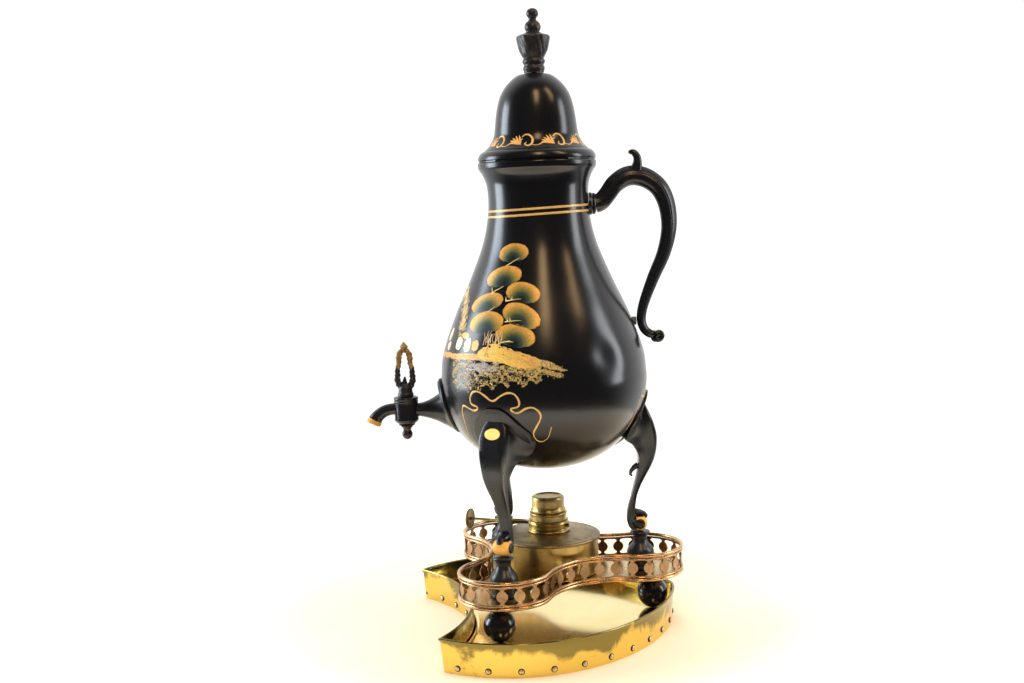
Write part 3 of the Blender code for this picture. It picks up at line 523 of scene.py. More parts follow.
def spun(profile, centre=AXIS, steps=96, closed=False):
    """A turned piece from (radius, height) points in millimetres, spun round an upright axis."""
    deselect_all()
    bpy.ops.mesh.primitive_circle_add(vertices=len(profile), radius=0.01)
    obj = bpy.context.object
    for vertex, (radius, z) in zip(obj.data.vertices, profile):
        vertex.co = (radius * MM, 0, z * MM)
    if not closed:
        for edge in obj.data.edges:
            edge.select = False
        for vertex in obj.data.vertices:
            vertex.select = vertex.index in (0, len(profile) - 1)
        only(obj)
        bpy.ops.object.mode_set(mode="EDIT")
        bpy.ops.mesh.select_mode(type="VERT")
        bpy.ops.mesh.delete(type="EDGE")
        bpy.ops.object.mode_set(mode="OBJECT")
    edit(obj, (bpy.ops.mesh.spin, {"steps": steps, "angle": 2 * math.pi, "center": (0, 0, 0), "axis": (0, 0, 1)}),
         (bpy.ops.mesh.select_all, {"action": "SELECT"}),
         (bpy.ops.mesh.remove_doubles, {"threshold": 0.000005}),
         (bpy.ops.mesh.normals_make_consistent, {"inside": False}))
    obj.data.transform(Matrix.Translation(centre))
    return obj


def japan(name, colour, gloss, worn, wear, orange_peel=0.02):
    """Black japan lacquer with a slightly uneven skin, fine dust-like scuffs and rubbed patches."""
    made, node, link, shader = nodes_of(name)
    place = node("ShaderNodeTexCoord").outputs["Object"]
    rub = node("ShaderNodeTexNoise", Scale=120.0, Detail=6.0, Roughness=0.7)
    cloud = node("ShaderNodeTexNoise", Scale=22.0, Detail=3.0)
    skin = node("ShaderNodeTexNoise", Scale=520.0, Detail=2.0)
    for texture in (rub, cloud, skin):
        link(place, texture.inputs["Vector"])
    share = ramp_between(node, link, rub.outputs["Fac"], 0.72 - wear, 0.84 - wear, 0.0, 1.0)
    link(mixed(node, link, share, colour, worn), shader.inputs["Base Color"])
    uneven_gloss(node, link, shader, cloud.outputs["Fac"], gloss, 1.9)
    two_bumps(node, link, shader, (cloud, 0.25, 0.0006), (skin, orange_peel, 0.0002))
    return made


wood_black = japan("black_turned_wood", (0.012, 0.012, 0.013), 0.2, (0.13, 0.125, 0.12), 0.09, 0.3)
ball_black = japan("black_ball_wood", (0.007, 0.007, 0.008), 0.12, (0.08, 0.078, 0.076), 0.03, 0.12)

BALL_REACH = 78.0 * MM
PAD_REACH = 69.7 * MM
BALL_RADIUS = 11.7
ball_middle = floor_top + 0.3 + BALL_RADIUS
ball_side = [(BALL_RADIUS * math.cos(math.radians(a)), ball_middle + BALL_RADIUS * math.sin(math.radians(a)))
             for a in range(58, -86, -6)]
foot_side = [(0, 41.5), (2.5, 41.5), (2.5, 40.1), (5.0, 40.1), (5.2, 39.6), (5.2, 38.5), (5.6, 38.1),
             (6.5, 37.9), (6.9, 37.4), (6.9, 36.8), (6.5, 36.2), (5.7, 35.7), (5.5, 35.1), (5.7, 34.4)]
foot_side += ball_side + [(0, ball_middle - BALL_RADIUS)]
pad_side = [(0, 70.6), (6.6, 70.6), (7.1, 70.45), (7.5, 70.0), (7.6, 69.5), (7.3, 68.8), (6.3, 68.1), (5.7, 67.3),
            (5.35, 66.2), (5.15, 65.0), (5.3, 63.6), (5.9, 61.9), (7.0, 60.1), (8.6, 58.4), (9.7, 56.6),
            (10.3, 54.8), (10.6, 52.8), (10.5, 50.6), (10.1, 48.4), (9.5, 46.4), (9.2, 45.3), (9.3, 44.6),
            (9.9, 44.3), (10.2, 43.8), (10.2, 42.3), (9.9, 41.95), (2.6, 41.95), (2.6, 58), (0, 58)]
for side, facing in LEG_ANGLES.items():
    foot = spun(foot_side, AXIS + polar(BALL_REACH, facing), 48)
    add_piece(foot, "ball_foot_turned_" + side, "stand", ball_black, ["ball_foot_" + side], 32)
    pad = spun(pad_side, AXIS + polar(PAD_REACH, facing), 48)
    add_piece(pad, "pad_turned_" + side, "stand", wood_black, ["pad_" + side], 32)
    dress("pad_screw_" + side, plate_brass)

# ---------------------------------------------------------------------------------------------------
# Spirit burner. Spun brass gone brown with heat: a drum, a domed shoulder crimped over it, a collar and a
# beaded sleeve for the wick's tube, a snuffer cap, and the spindle with its knurled knob.

burner_brass = worn_brass("burner_brass", (0.56, 0.39, 0.12), (0.27, 0.19, 0.065), (0.07, 0.05, 0.03),
                          0.19, 32.0, 0.03, grain=0.25)
shoulder_brass = worn_brass("shoulder_brass", (0.38, 0.28, 0.13), (0.20, 0.155, 0.09), (0.09, 0.07, 0.055),
                            0.26, 40.0, 0.08, grain=0.3)
cap_brass = worn_brass("cap_brass", (0.52, 0.38, 0.14), (0.25, 0.185, 0.075), (0.10, 0.075, 0.045),
                       0.20, 70.0, 0.02, grain=0.3)
cotton, node, link, shader = nodes_of("wick_cotton")
weave = node("ShaderNodeTexWave", Scale=420.0, Distortion=2.0, Detail=3.0)
link(node("ShaderNodeTexCoord").outputs["Object"], weave.inputs["Vector"])
link(ramp_between(node, link, weave.outputs["Fac"], 0.2, 0.8, (0.52, 0.46, 0.36), (0.80, 0.76, 0.66)),
     shader.inputs["Base Color"])
shader.inputs["Roughness"].default_value = 0.9
knit = node("ShaderNodeBump", Strength=0.8, Distance=0.0003)
link(weave.outputs["Fac"], knit.inputs["Height"])
link(knit.outputs["Normal"], shader.inputs["Normal"])

drum = spun([(37.5, 69.4), (37.5, 44.6), (37.4, 43.6), (37.0, 42.6), (36.2, 42.0), (35.2, 41.9), (0, 41.9),
             (0, 42.7), (35.2, 42.7), (36.4, 43.4), (36.7, 44.6), (36.7, 69.4)], closed=True)
add_piece(drum, "burner_drum", "burner", burner_brass, ["burner_reservoir"], 30)
shoulder = spun([(13.4, 73.25), (16.6, 73.2), (17.6, 73.2), (24.0, 72.55), (31.0, 71.7), (34.6, 71.3), (35.2, 71.05),
                 (35.8, 71.15), (37.6, 71.1), (38.5, 70.9), (39.05, 70.4), (39.2, 69.8), (39.1, 69.2), (38.8, 68.7),
                 (38.1, 68.7), (38.0, 69.9), (36.0, 70.3), (17.0, 72.3), (13.4, 72.4)], closed=True)
add_piece(shoulder, "burner_shoulder_crimped", "burner", shoulder_brass, ["burner_shoulder"], 50)
collar = spun([(15.2, 82.0), (15.3, 80.6), (15.6, 80.1), (15.3, 79.6), (15.3, 75.9), (15.45, 75.4), (16.0, 75.1),
               (16.3, 74.6), (16.4, 74.1), (16.1, 73.5), (13.9, 73.5), (13.9, 82.0)], closed=True)
add_piece(collar, "burner_collar_turned", "burner", burner_brass, ["burner_collar"], 40)
sleeve_side = [(14.1, 82.3), (14.05, 84.6), (14.0, 86.0), (14.15, 86.4), (14.4, 86.8), (14.45, 87.3), (14.3, 87.8),
               (13.7, 88.15), (12.6, 88.2), (12.4, 87.4), (0, 87.4), (0, 86.5),
               (13.2, 86.5), (13.3, 82.3)]
add_piece(spun(sleeve_side, closed=True), "burner_sleeve_beaded", "burner", cap_brass,
          ["burner_sleeve"], 45)
cap_side = [(0, 99.55), (9.0, 99.55), (9.6, 99.75), (10.0, 100.25), (10.5, 100.5), (11.3, 100.35), (11.9, 99.95),
            (12.3, 99.3), (12.45, 98.4), (12.5, 96.4), (12.6, 93.2), (12.7, 91.2), (12.95, 90.7), (13.4, 90.2),
            (13.55, 89.6), (13.45, 89.0), (13.1, 88.5), (12.2, 88.5), (11.9, 93.0), (11.8, 98.2),
            (10.8, 98.9), (0, 98.9)]
add_piece(spun(cap_side, closed=True), "snuffer_cap_spun", "cap", cap_brass, ["snuffer_cap"], 40)

SPINDLE_TURN = -23.0
SPINDLE_ASIDE = -2.0
SPINDLE_Z = 78.6
lay_down = (Matrix.Translation(AXIS) @ Matrix.Rotation(math.radians(SPINDLE_TURN), 4, "Z")
            @ Matrix.Translation((0, SPINDLE_ASIDE * MM, SPINDLE_Z * MM))
            @ Matrix.Rotation(math.radians(90), 4, "Y"))
rod = spun([(0, 17.9), (1.2, 17.9), (1.6, 17.5), (1.6, 16.3), (1.1, 16.0), (1.1, 1.0), (3.3, 1.0), (3.3, -1.0),
            (1.1, -1.0), (1.1, -30.0), (1.35, -30.4), (1.35, -31.2), (1.1, -31.6), (1.1, -63.9),
            (0, -63.9)], Vector(), 40)
rod.data.transform(lay_down)
add_piece(rod, "wick_spindle_turned", "spindle", cap_brass, ["wick_spindle"], 35)
KNOB_TEETH = 44
KNOB_TOOTH_DEPTH = 0.045                # of the knob's radius
KNOB_RIM_FROM = 7.7 * MM
knob = spun([(0, -64.2), (2.6, -64.2), (6.9, -64.15), (7.5, -64.3), (7.9, -64.6), (7.9, -65.5), (7.5, -65.8),
             (6.7, -65.9), (6.3, -65.65), (3.2, -65.55), (2.7, -65.9), (2.3, -66.6), (1.6, -67.0), (0, -67.2)],
            Vector(), KNOB_TEETH * 2)
for vertex in knob.data.vertices:
    radius = math.hypot(vertex.co.x, vertex.co.y)
    if radius > KNOB_RIM_FROM:
        tooth = round(math.atan2(vertex.co.y, vertex.co.x) / (math.pi / KNOB_TEETH)) % 2
        vertex.co.x *= 1 - KNOB_TOOTH_DEPTH * tooth
        vertex.co.y *= 1 - KNOB_TOOTH_DEPTH * tooth
knob.data.transform(lay_down)
add_piece(knob, "spindle_knob_knurled", "spindle", shoulder_brass, ["spindle_knob"], 25)
dress("wick_tube", cap_brass)
dress("wick", cotton)

# ---------------------------------------------------------------------------------------------------
# Urn body. One pear-shaped shell, spun from tinned sheet, with a rolled mouth. It is japanned black, baked
# and polished, and the painting lies on it.

urn_black = japan("black_japan_gloss", (0.0045, 0.0045, 0.0052), 0.15, (0.02, 0.02, 0.022), -0.02, 0.008)

BELLY_RADIUS, BELLY_Z, BELLY_LOW = 77.3, 193.4, 123.5
side_line = smooth_line([(43.8, 348.4), (39.9, 341.8), (37.6, 333.0), (37.6, 316.0), (42.3, 293.0), (53.0, 266.0),
                         (65.3, 239.0), (75.0, 212.0), (BELLY_RADIUS, BELLY_Z)], 8)
BOWL_STEPS = 40
BOWL_FULLNESS = 2 / 2.15                # 1 would be an ellipse, and less is fuller
bowl_line = []
for i in range(1, BOWL_STEPS):
    turn = math.pi / 2 * i / BOWL_STEPS
    bowl_line.append((BELLY_RADIUS * math.cos(turn) ** BOWL_FULLNESS,
                      BELLY_Z - (BELLY_Z - BELLY_LOW) * math.sin(turn) ** BOWL_FULLNESS))
outer_line = [(p.x, p.y) for p in side_line] + bowl_line
lip_line = [(42.75, 352.3), (43.15, 352.5), (43.6, 352.4), (43.9, 352.0), (43.95, 351.4), (43.85, 350.2)]
inner_line = [(max(r - 1.2, 0.5), z + 0.6) for r, z in outer_line]
shell_line = lip_line + outer_line + [(0, BELLY_LOW), (0, BELLY_LOW + 1.2)] + list(reversed(inner_line))
shell = spun(shell_line, steps=192, closed=True)
DENT_FACING, DENT_Z, DENT_DEPTH, DENT_WIDE = -56.0, 213.0, 1.9, 8.0
DENT_REACH = 74.8                       # from the urn's axis, in millimetres as the others are
dent = AXIS + (polar(DENT_REACH, DENT_FACING) + Vector((0, 0, DENT_Z))) * MM
for vertex in shell.data.vertices:
    far = (vertex.co - dent).length / (DENT_WIDE * MM)
    if far < 4:
        outward = Vector((vertex.co.x - AXIS.x, vertex.co.y - AXIS.y, 0)).normalized()
        vertex.co -= outward * DENT_DEPTH * MM * math.exp(-far * far / 2)
add_piece(shell, "urn_body_spun", "urn", urn_black, ["urn_body"], 35)

# ---------------------------------------------------------------------------------------------------
# Lid. A bell of the same black sheet with a rolled ring at its foot, the bezel inside that seats it in the
# mouth, and the nut that holds the finial.

lid_line = smooth_line([(2.6, 417.2), (8.5, 416.6), (13.8, 415.0), (20.5, 409.2), (25.2, 402.2), (27.8, 394.6),
                        (29.4, 386.2), (30.4, 378.0), (31.4, 371.6), (33.4, 367.1), (36.0, 363.7),
                        (38.6, 361.25)], 4)
lid_side = [(p.x, p.y) for p in lid_line]
ring_line = [(38.75, 360.95), (39.4, 360.75), (40.8, 360.2), (42.1, 359.0), (43.1, 357.5), (43.6, 356.2),
             (43.85, 355.0), (43.7, 354.2), (43.3, 353.95), (42.7, 354.0), (42.4, 355.4), (41.2, 358.0),
             (39.0, 359.7), (37.6, 360.6)]
lid_inner = [(max(r - 1.0, 2.6), z - 0.6) for r, z in lid_side[:-1]]
lid_shell = lid_side + ring_line + list(reversed(lid_inner))
add_piece(spun(lid_shell, steps=128, closed=True), "lid_bell", "lid", urn_black, ["lid_dome"], 30)
dress("lid_bezel", urn_black)
tin = worn_brass("tinned_nut", (0.55, 0.55, 0.53), (0.38, 0.38, 0.36), (0.12, 0.11, 0.10), 0.3, 90.0, 0.03)
dress("finial_nut", tin)

# ---------------------------------------------------------------------------------------------------
# Finial. A turned and chased knob of dark bronze: two beads, a spool, a square-shouldered vase with leaves
# on its faces, and beads below. It screws through the lid.

bronze = worn_brass("dark_chased_bronze", (0.05, 0.045, 0.042), (0.020, 0.019, 0.019), (0.22, 0.17, 0.13),
                    0.2, 260.0, 0.02, metallic=0.6, grain=0.7)

finial_line = [(0, 464.1), (1.6, 463.95), (2.8, 463.4), (3.7, 462.5), (4.25, 461.2), (4.4, 459.8), (4.1, 458.6),
               (3.4, 457.6), (2.9, 456.9), (2.75, 456.1), (2.9, 455.4), (3.6, 454.8), (4.4, 454.1), (5.3, 452.9),
               (5.8, 451.7), (5.98, 450.4), (5.8, 449.1), (5.3, 448.0), (4.9, 447.5), (5.0, 446.9), (5.9, 446.3),
               (7.3, 445.6), (9.4, 444.9), (11.4, 444.3), (12.2, 443.7), (12.4, 442.7), (12.2, 440.9),
               (11.85, 438.3), (11.2, 435.4), (10.2, 432.6), (9.1, 430.4), (8.2, 428.9), (7.6, 428.2),
               (7.5, 427.6), (7.9, 426.9),
               (8.3, 426.0), (8.3, 425.1), (7.9, 424.2), (7.4, 423.6), (7.2, 422.7), (7.5, 422.0), (7.9, 421.3),
               (8.0, 420.3), (7.8, 419.3), (7.4, 418.7), (7.5, 417.6), (2.2, 417.6), (2.2, 409.0), (0, 409.0)]
VASE_LOW, VASE_HIGH = 428.5, 444.8
FINIAL_LOW = 418.6
finial = spun(finial_line, steps=96)
for vertex in finial.data.vertices:
    z = vertex.co.z / MM
    offset = vertex.co - AXIS
    angle = math.atan2(offset.y, offset.x)
    radius = math.hypot(offset.x, offset.y)
    if VASE_LOW < z < VASE_HIGH and radius > 5 * MM:
        rise = (z - VASE_LOW) / (VASE_HIGH - VASE_LOW)
        leaf = abs(math.sin(2 * angle + 0.5)) ** 1.6
        veins = 0.16 * math.sin(16 * angle + 9 * rise) * (0.3 + leaf) + 0.14 * math.sin(13 * rise + 3 * leaf)
        depth = (0.9 * leaf * math.sin(math.pi * min(1, rise * 1.05)) + veins) * MM
    elif radius > 3.5 * MM and z > FINIAL_LOW:
        depth = 0.16 * MM * math.sin(12 * angle) * math.sin(z * 1.3)
    else:
        depth = 0.0
    scale = (radius - depth) / radius if radius > 0 else 1.0
    vertex.co.x = AXIS.x + offset.x * scale
    vertex.co.y = AXIS.y + offset.y * scale
add_piece(finial, "finial_chased", "lid", bronze, ["finial"], 40)

# ---------------------------------------------------------------------------------------------------
# Handle. A cast S-scroll with a flat outer face and a ridge along each side, a leaf-shaped thumb rest, a
# ferrule where it enters the neck, and a curled end on a small boss.

cast_black = japan("black_cast_lacquer", (0.006, 0.006, 0.007), 0.2, (0.06, 0.05, 0.04), -0.07, 0.025)


def swept(stations, section, cap=True):
    """A bar through (x, z, half depth, half width) stations in the plane of the handle and tap, in millimetres.
    Its section holds (inward, sideways) points, from -1 to 1."""
    rows = []
    for i, here in enumerate(stations):
        before, after = stations[max(i - 1, 0)], stations[min(i + 1, len(stations) - 1)]
        along = Vector((after[0] - before[0], after[1] - before[1])).normalized()
        across = Vector((-along.y, along.x))
        row = []
        for d, s in section:
            x, z = here[0] + across.x * d * here[2], here[1] + across.y * d * here[2]
            row.append(AXIS + Vector((x, s * here[3], z)) * MM)
        rows.append(row)
    return grid_through(rows, fill=cap)


def round_section(count, squareness=1.0):
    ring = []
    for turn in turns(count):
        c, s = math.cos(turn), math.sin(turn)
        ring.append((math.copysign(abs(c) ** squareness, c), math.copysign(abs(s) ** squareness, s)))
    return ring


HANDLE_SECTION = [(1.0, 0.0), (1.0, 0.12), (0.97, 0.20), (0.42, 0.80), (0.36, 0.84), (0.27, 0.86), (0.21, 0.92),
                  (0.08, 1.0), (-0.12, 0.99), (-0.38, 0.92), (-0.68, 0.74), (-0.9, 0.42), (-1.0, 0.12)]
HANDLE_SECTION = HANDLE_SECTION + [(d, -s) for d, s in reversed(HANDLE_SECTION[1:])]
handle_line = smooth_line([(42.6, 320.3, 7.0), (44.8, 320.8, 6.9), (48.0, 322.7, 6.7), (52.2, 327.6, 6.6),
                           (57.4, 334.2, 6.9), (65.4, 339.2, 7.3), (74.0, 339.8, 7.4), (83.0, 336.4, 7.2),
                           (90.9, 329.0, 6.8),
                           (95.8, 316.5, 6.3), (96.8, 300.0, 5.7), (92.4, 281.6, 5.1), (84.3, 263.8, 4.5),
                           (76.9, 245.0, 3.8), (74.6, 233.6, 3.5), (76.2, 226.0, 3.3), (80.6, 221.6, 3.2),
                           (85.7, 220.6, 2.8)], 6)
bar = swept([(p.x, p.y, p.z, p.z * 0.86) for p in handle_line], HANDLE_SECTION)
rest_line = smooth_line([(71.5, 339.0, 6.0), (73.4, 344.5, 4.6), (74.5, 349.4, 3.4), (74.2, 353.6, 2.9),
                         (72.2, 356.6, 2.5), (69.8, 357.3, 1.9), (68.7, 356.1, 1.2)], 5)
leaf = swept([(p.x, p.y, p.z, 4.6 * min(1, p.z / 3.4)) for p in rest_line], round_section(14, 0.8))
curl_line = smooth_line([(85.0, 220.7, 2.9), (88.3, 221.7, 2.5), (89.6, 219.6, 2.2), (88.3, 217.2, 2.0),
                         (85.6, 217.0, 2.0), (84.6, 219.2, 1.8)], 5)
curl = swept([(p.x, p.y, p.z, 4.0) for p in curl_line], round_section(14, 0.7))
bump_line = smooth_line([(82.6, 219.5, 1.0), (83.3, 217.9, 1.8), (84.2, 216.4, 1.5), (85.0, 215.2, 0.7)], 4)
pendant = swept([(p.x, p.y, p.z, p.z) for p in bump_line], round_section(10))
add_piece(joined([bar, leaf, curl, pendant]), "handle_cast_scroll", "urn", cast_black,
          ["handle"], 38)

FERRULE_Z = 320.3
FERRULE_SIDE = [(37.9, 8.4), (39.2, 8.4), (39.7, 8.0), (40.3, 7.7), (40.9, 8.0), (41.5, 8.1), (42.2, 7.7),
                (42.8, 6.6)]
FERRULE_SAG = 0.8                       # its back follows the round neck
ferrule_rows = []
for x, radius in FERRULE_SIDE:
    sag = FERRULE_SAG if x == FERRULE_SIDE[0][0] else 0.0
    ferrule_rows.append([AXIS + Vector((x - sag * math.sin(turn) ** 2, radius * math.sin(turn),
                                        FERRULE_Z + radius * math.cos(turn))) * MM for turn in turns(40)])
add_piece(grid_through(ferrule_rows, fill=True), "handle_ferrule_turned", "urn", cast_black,
          ["handle_ferrule"], 35)
dress("handle_boss", cast_black)

# ---------------------------------------------------------------------------------------------------
# Tap. A cast body: a horn that flares against the belly, a turned barrel and a curved spout with a gilt
# mouth. The plug's open-work key is cast as two branches that meet in a bud, half gilt and rubbed.

gilt = worn_brass("rubbed_gilding", (0.72, 0.36, 0.08), (0.46, 0.22, 0.05), (0.05, 0.03, 0.02),
                  0.34, 300.0, 0.03, metallic=0.35, grain=0.5)
rubbed_gilt = worn_brass("key_gilding_worn_thin", (0.36, 0.20, 0.06), (0.12, 0.07, 0.03), (0.02, 0.018, 0.016),
                         0.36, 330.0, 0.10, metallic=0.35, grain=0.6)
TAP_X, TAP_Z = -104.8, 170.0
tap_place = AXIS + Vector((TAP_X * MM, 0, 0))
barrel = spun([(5.3, 180.0), (7.6, 180.0), (8.5, 179.9), (9.1, 179.5), (9.35, 178.9), (9.3, 178.2), (9.0, 177.8),
               (8.85, 177.4), (9.2, 177.0), (9.3, 176.5), (9.05, 176.1), (9.0, 175.6), (9.0, 163.4), (9.15, 163.0),
               (9.1, 162.4), (8.7, 161.7), (8.0, 160.9), (7.3, 160.2), (6.6, 159.9),
               (5.3, 159.9)], tap_place, 64, True)
horn_line = smooth_line([(-97.2, 169.8, 4.75), (-94.5, 169.85, 5.1), (-91.5, 169.9, 5.7), (-86.5, 170.1, 7.4),
                         (-81.5, 170.6, 9.8), (-77.5, 171.1, 12.4), (-74.2, 171.9, 14.9)], 4)
horn_rows = []
HORN_SIDES = 40
FLANGE_Z, FLANGE_TALL = 172.3, 1.12     # its middle, and its height over its width
for p in horn_line:
    horn_rows.append([AXIS + Vector((p.x, p.z * math.sin(turn), p.y + p.z * math.cos(turn))) * MM
                      for turn in turns(HORN_SIDES)])


def profile_radius(profile, z):
    """The radius of a spun profile at a height, all in millimetres."""
    for (r0, z0), (r1, z1) in zip(profile, profile[1:]):
        if z1 <= z <= z0:
            return r0 + (r1 - r0) * (z0 - z) / (z0 - z1)
    return profile[0][0] if z > profile[0][1] else profile[-1][0]


def flange_ring(radius, lift):
    """A ring of points lying on the belly round the tap, lifted off it."""
    ring = []
    for turn in turns(HORN_SIDES):
        y, z = radius * math.sin(turn), FLANGE_Z + radius * FLANGE_TALL * math.cos(turn)
        out = profile_radius(outer_line, z) + lift
        ring.append(AXIS + Vector((-math.sqrt(max(out * out - y * y, 1)), y, z)) * MM)
    return ring


FLANGE_SIDE = [(16.4, 3.3), (17.6, 2.4), (18.2, 2.1), (18.5, 1.7), (18.3, 1.35), (18.1, 1.2), (18.7, 1.0),
               (18.8, 0.7), (18.6, 0.4), (16.0, 0.35)]
horn_rows += [flange_ring(radius, lift) for radius, lift in FLANGE_SIDE]
horn = grid_through(horn_rows)
spout_line = smooth_line([(-112.8, 171.0, 4.5), (-116.2, 170.8, 4.35), (-119.5, 170.1, 4.45), (-122.4, 168.9, 4.5),
                          (-124.9, 167.2, 4.6), (-127.0, 165.3, 4.85), (-128.5, 163.3, 5.2)], 4)
spout = swept([(p.x, p.y, p.z, p.z * 0.96) for p in spout_line], round_section(24), cap=False)
add_piece(joined([barrel, horn, spout]), "tap_body_cast", "urn", cast_black, ["tap_body"], 38)
mouth_line = [(-128.5, 163.3, 5.2), (-129.1, 162.2, 5.45), (-129.6, 161.0, 5.65), (-129.75, 160.5, 5.6),
              (-129.85, 160.2, 5.2), (-129.8, 160.4, 4.6), (-129.3, 161.6, 4.3), (-127.4, 164.9, 3.8)]
mouth = swept([(x, z, r, r * 0.96) for x, z, r in mouth_line], round_section(24), cap=False)
add_piece(mouth, "tap_spout_gilt", "urn", gilt, [], 50)

bark = japan("black_bark_casting", (0.010, 0.010, 0.011), 0.28, (0.16, 0.12, 0.08), 0.10, 0.9)
KEY_FOOT = [(0, 190.2), (2.2, 190.0), (3.8, 189.2), (4.8, 187.8), (5.3, 186.2), (5.2, 184.9), (5.3, 183.6),
            (5.6, 182.9), (5.95, 182.5), (6.0, 181.0), (5.9, 180.3), (4.85, 180.3), (4.85, 160.2), (1.8, 160.2),
            (1.8, 154.6), (0, 154.6)]
KEY_BRANCH = [(1.9, 186.0, 2.4), (4.1, 189.6, 2.5), (5.3, 193.2, 2.3), (5.0, 197.0, 2.15), (4.9, 201.0, 1.95),
              (3.8, 205.0, 1.85), (3.7, 208.6, 2.15), (3.3, 211.8, 2.2), (1.9, 214.4, 2.0), (0.3, 215.8, 1.6)]
foot = spun(KEY_FOOT, tap_place, 48)
branches = []
for side in (-1, 1):
    lean = 0.5 * side
    knots = [(TAP_X + side * p.x + lean, p.y, p.z * (1 + 0.12 * math.sin(p.y * 1.9 + side)),
              p.z * 0.85 * (1 + 0.14 * math.sin(p.y * 1.3))) for p in smooth_line(KEY_BRANCH, 5)]
    branches.append(swept(knots, round_section(12, 0.85)))
tip = swept([(TAP_X - 0.6 + 0.1 * i, 189.0 + 1.25 * i, 2.6 * (1 - i / 6.4), 1.3 * (1 - i / 7))
             for i in range(6)], round_section(10))
BARK_TOP = 201.5
key = joined([foot, tip] + branches)
bud = spun([(0, 221.7), (0.7, 221.3), (1.3, 220.2), (2.3, 218.9), (3.0, 217.9), (2.4, 217.0), (1.6, 216.3),
            (2.0, 215.5), (2.3, 214.7), (1.7, 213.8), (0, 213.3)], tap_place, 24)
for vertex in bud.data.vertices:
    offset = vertex.co - tap_place
    offset.x *= 1 + 0.16 * math.sin(3 * math.atan2(offset.y, offset.x))
    vertex.co.x = tap_place.x + offset.x
add_piece(bud, "tap_key_bud", "tap_key", rubbed_gilt, [], 35)
finish_with(key.data, bark, rubbed_gilt)
for face in key.data.polygons:
    face.material_index = int(face.center.z > BARK_TOP * MM + 0.8 * MM * math.sin(face.center.x * 2500))
add_piece(key, "tap_key_branches", "tap_key", None, ["tap_key"], 40)
nut = spun([(2.2, 158.2), (4.4, 158.2), (4.8, 157.9), (4.4, 157.2), (3.5, 156.3), (3.0, 155.2), (2.9, 154.5),
            (3.3, 153.8), (3.8, 152.6), (3.95, 151.4), (3.8, 150.2), (3.2, 149.0), (2.3, 148.1), (1.2, 147.6),
            (0, 147.4), (0, 153.9), (2.2, 153.9)], tap_place, 40, True)
add_piece(nut, "tap_nut_turned", "tap_key", bronze, ["tap_nut"], 35)
dress("tap_washer", cast_black)

# ---------------------------------------------------------------------------------------------------
# Legs. Three cast cabriole legs, each fixed to the belly through a shield-shaped plate. The front face is
# flat, the sides are hollowed, and the toe is a gilt scroll under a small leaf. Each knee has a painted oval.

knee_gold = worn_brass("knee_gold_paint", (0.95, 0.72, 0.22), (0.86, 0.58, 0.13), (0.55, 0.36, 0.08), 0.3, 90.0, 0.0,
                       metallic=0.25)
toe_gold = worn_brass("toe_gold_paint", (0.86, 0.45, 0.09), (0.66, 0.30, 0.05), (0.20, 0.10, 0.03), 0.3, 120.0, 0.02,
                      metallic=0.2)

# (outer x, outer z, inner x, inner z, half width in front, half width at the back), knee to toe
leg_line = smooth_line([(75.2, 169.4, 67.5, 168.6, 6.8, 15.0), (76.9, 165.3, 66.0, 164.2, 9.6, 21.0),
                        (79.0, 160.6, 64.0, 159.0, 10.9, 24.6), (81.0, 155.2, 61.0, 153.0, 11.1, 25.4),
                        (83.1, 146.4, 58.5, 145.0, 10.2, 20.5), (83.2, 138.0, 65.0, 138.6, 9.0, 12.4),
                        (81.9, 130.0, 69.2, 130.6, 8.1, 8.8), (79.4, 122.8, 69.7, 122.6, 7.1, 6.9),
                        (75.6, 115.7, 68.5, 115.2, 6.1, 5.6), (71.0, 107.0, 66.2, 106.6, 5.2, 4.6),
                        (68.3, 99.9, 63.9, 98.6, 4.7, 4.1), (66.9, 92.8, 61.6, 91.6, 4.35, 3.8),
                        (66.2, 84.8, 59.9, 83.6, 4.25, 3.7), (66.6, 79.0, 60.3, 77.2, 4.3, 3.8),
                        (68.2, 75.0, 62.6, 72.6, 4.3, 3.8), (69.6, 73.4, 66.4, 71.5, 4.1, 3.6)], 5)
LEG_FRONT = [(0.0, 0.0), (0.0, 0.45), (0.0, 0.82), (0.03, 0.93), (0.10, 1.0)]


def leg_row(station):
    outer_x, outer_z, inner_x, inner_z, front, back = station
    half = [(d, s * front) for d, s in LEG_FRONT]
    for i in range(1, 9):
        t = i / 8
        half.append((0.10 + 0.86 * t, front * (1 - 0.14 * math.sin(math.pi * t)) + (back - front) * t ** 2.6))
    half += [(1.0, 0.93 * back), (1.03, 0.5 * back)]
    ring = half + [(1.03, 0.0)] + [(d, -y) for d, y in reversed(half[1:])]
    row = []
    for d, y in ring:
        x, z = outer_x + (inner_x - outer_x) * d, outer_z + (inner_z - outer_z) * d
        if z > BELLY_LOW:
            out = profile_radius(outer_line, z) + 1.3
            if math.hypot(x, y) < out:
                x = math.sqrt(max(out * out - y * y, 1))
        row.append(Vector((x, y, z)) * MM)
    return row


PLATE_HALVES = smooth_line([(178.9, 0.6), (178.5, 4.5), (176.8, 8.8), (173.6, 12.9), (168.6, 17.6), (163.5, 21.2),
                            (158.0, 22.9), (152.6, 22.2), (148.4, 19.2), (144.6, 14.6), (141.0, 9.6), (138.0, 4.0),
                            (136.7, 0.6)], 4)
PLATE_SECTION = [(-1.0, 0.35), (-1.0, 1.3), (-0.985, 1.75), (-0.955, 1.95), (-0.9, 1.8), (-0.82, 1.75), (-0.6, 1.75),
                 (-0.35, 1.75), (0.0, 1.75)]
PLATE_SECTION = PLATE_SECTION + [(-s, lift) for s, lift in reversed(PLATE_SECTION[:-1])]
PLATE_SECTION += [(s, 0.35) for s in (0.6, 0.2, -0.2, -0.6)]


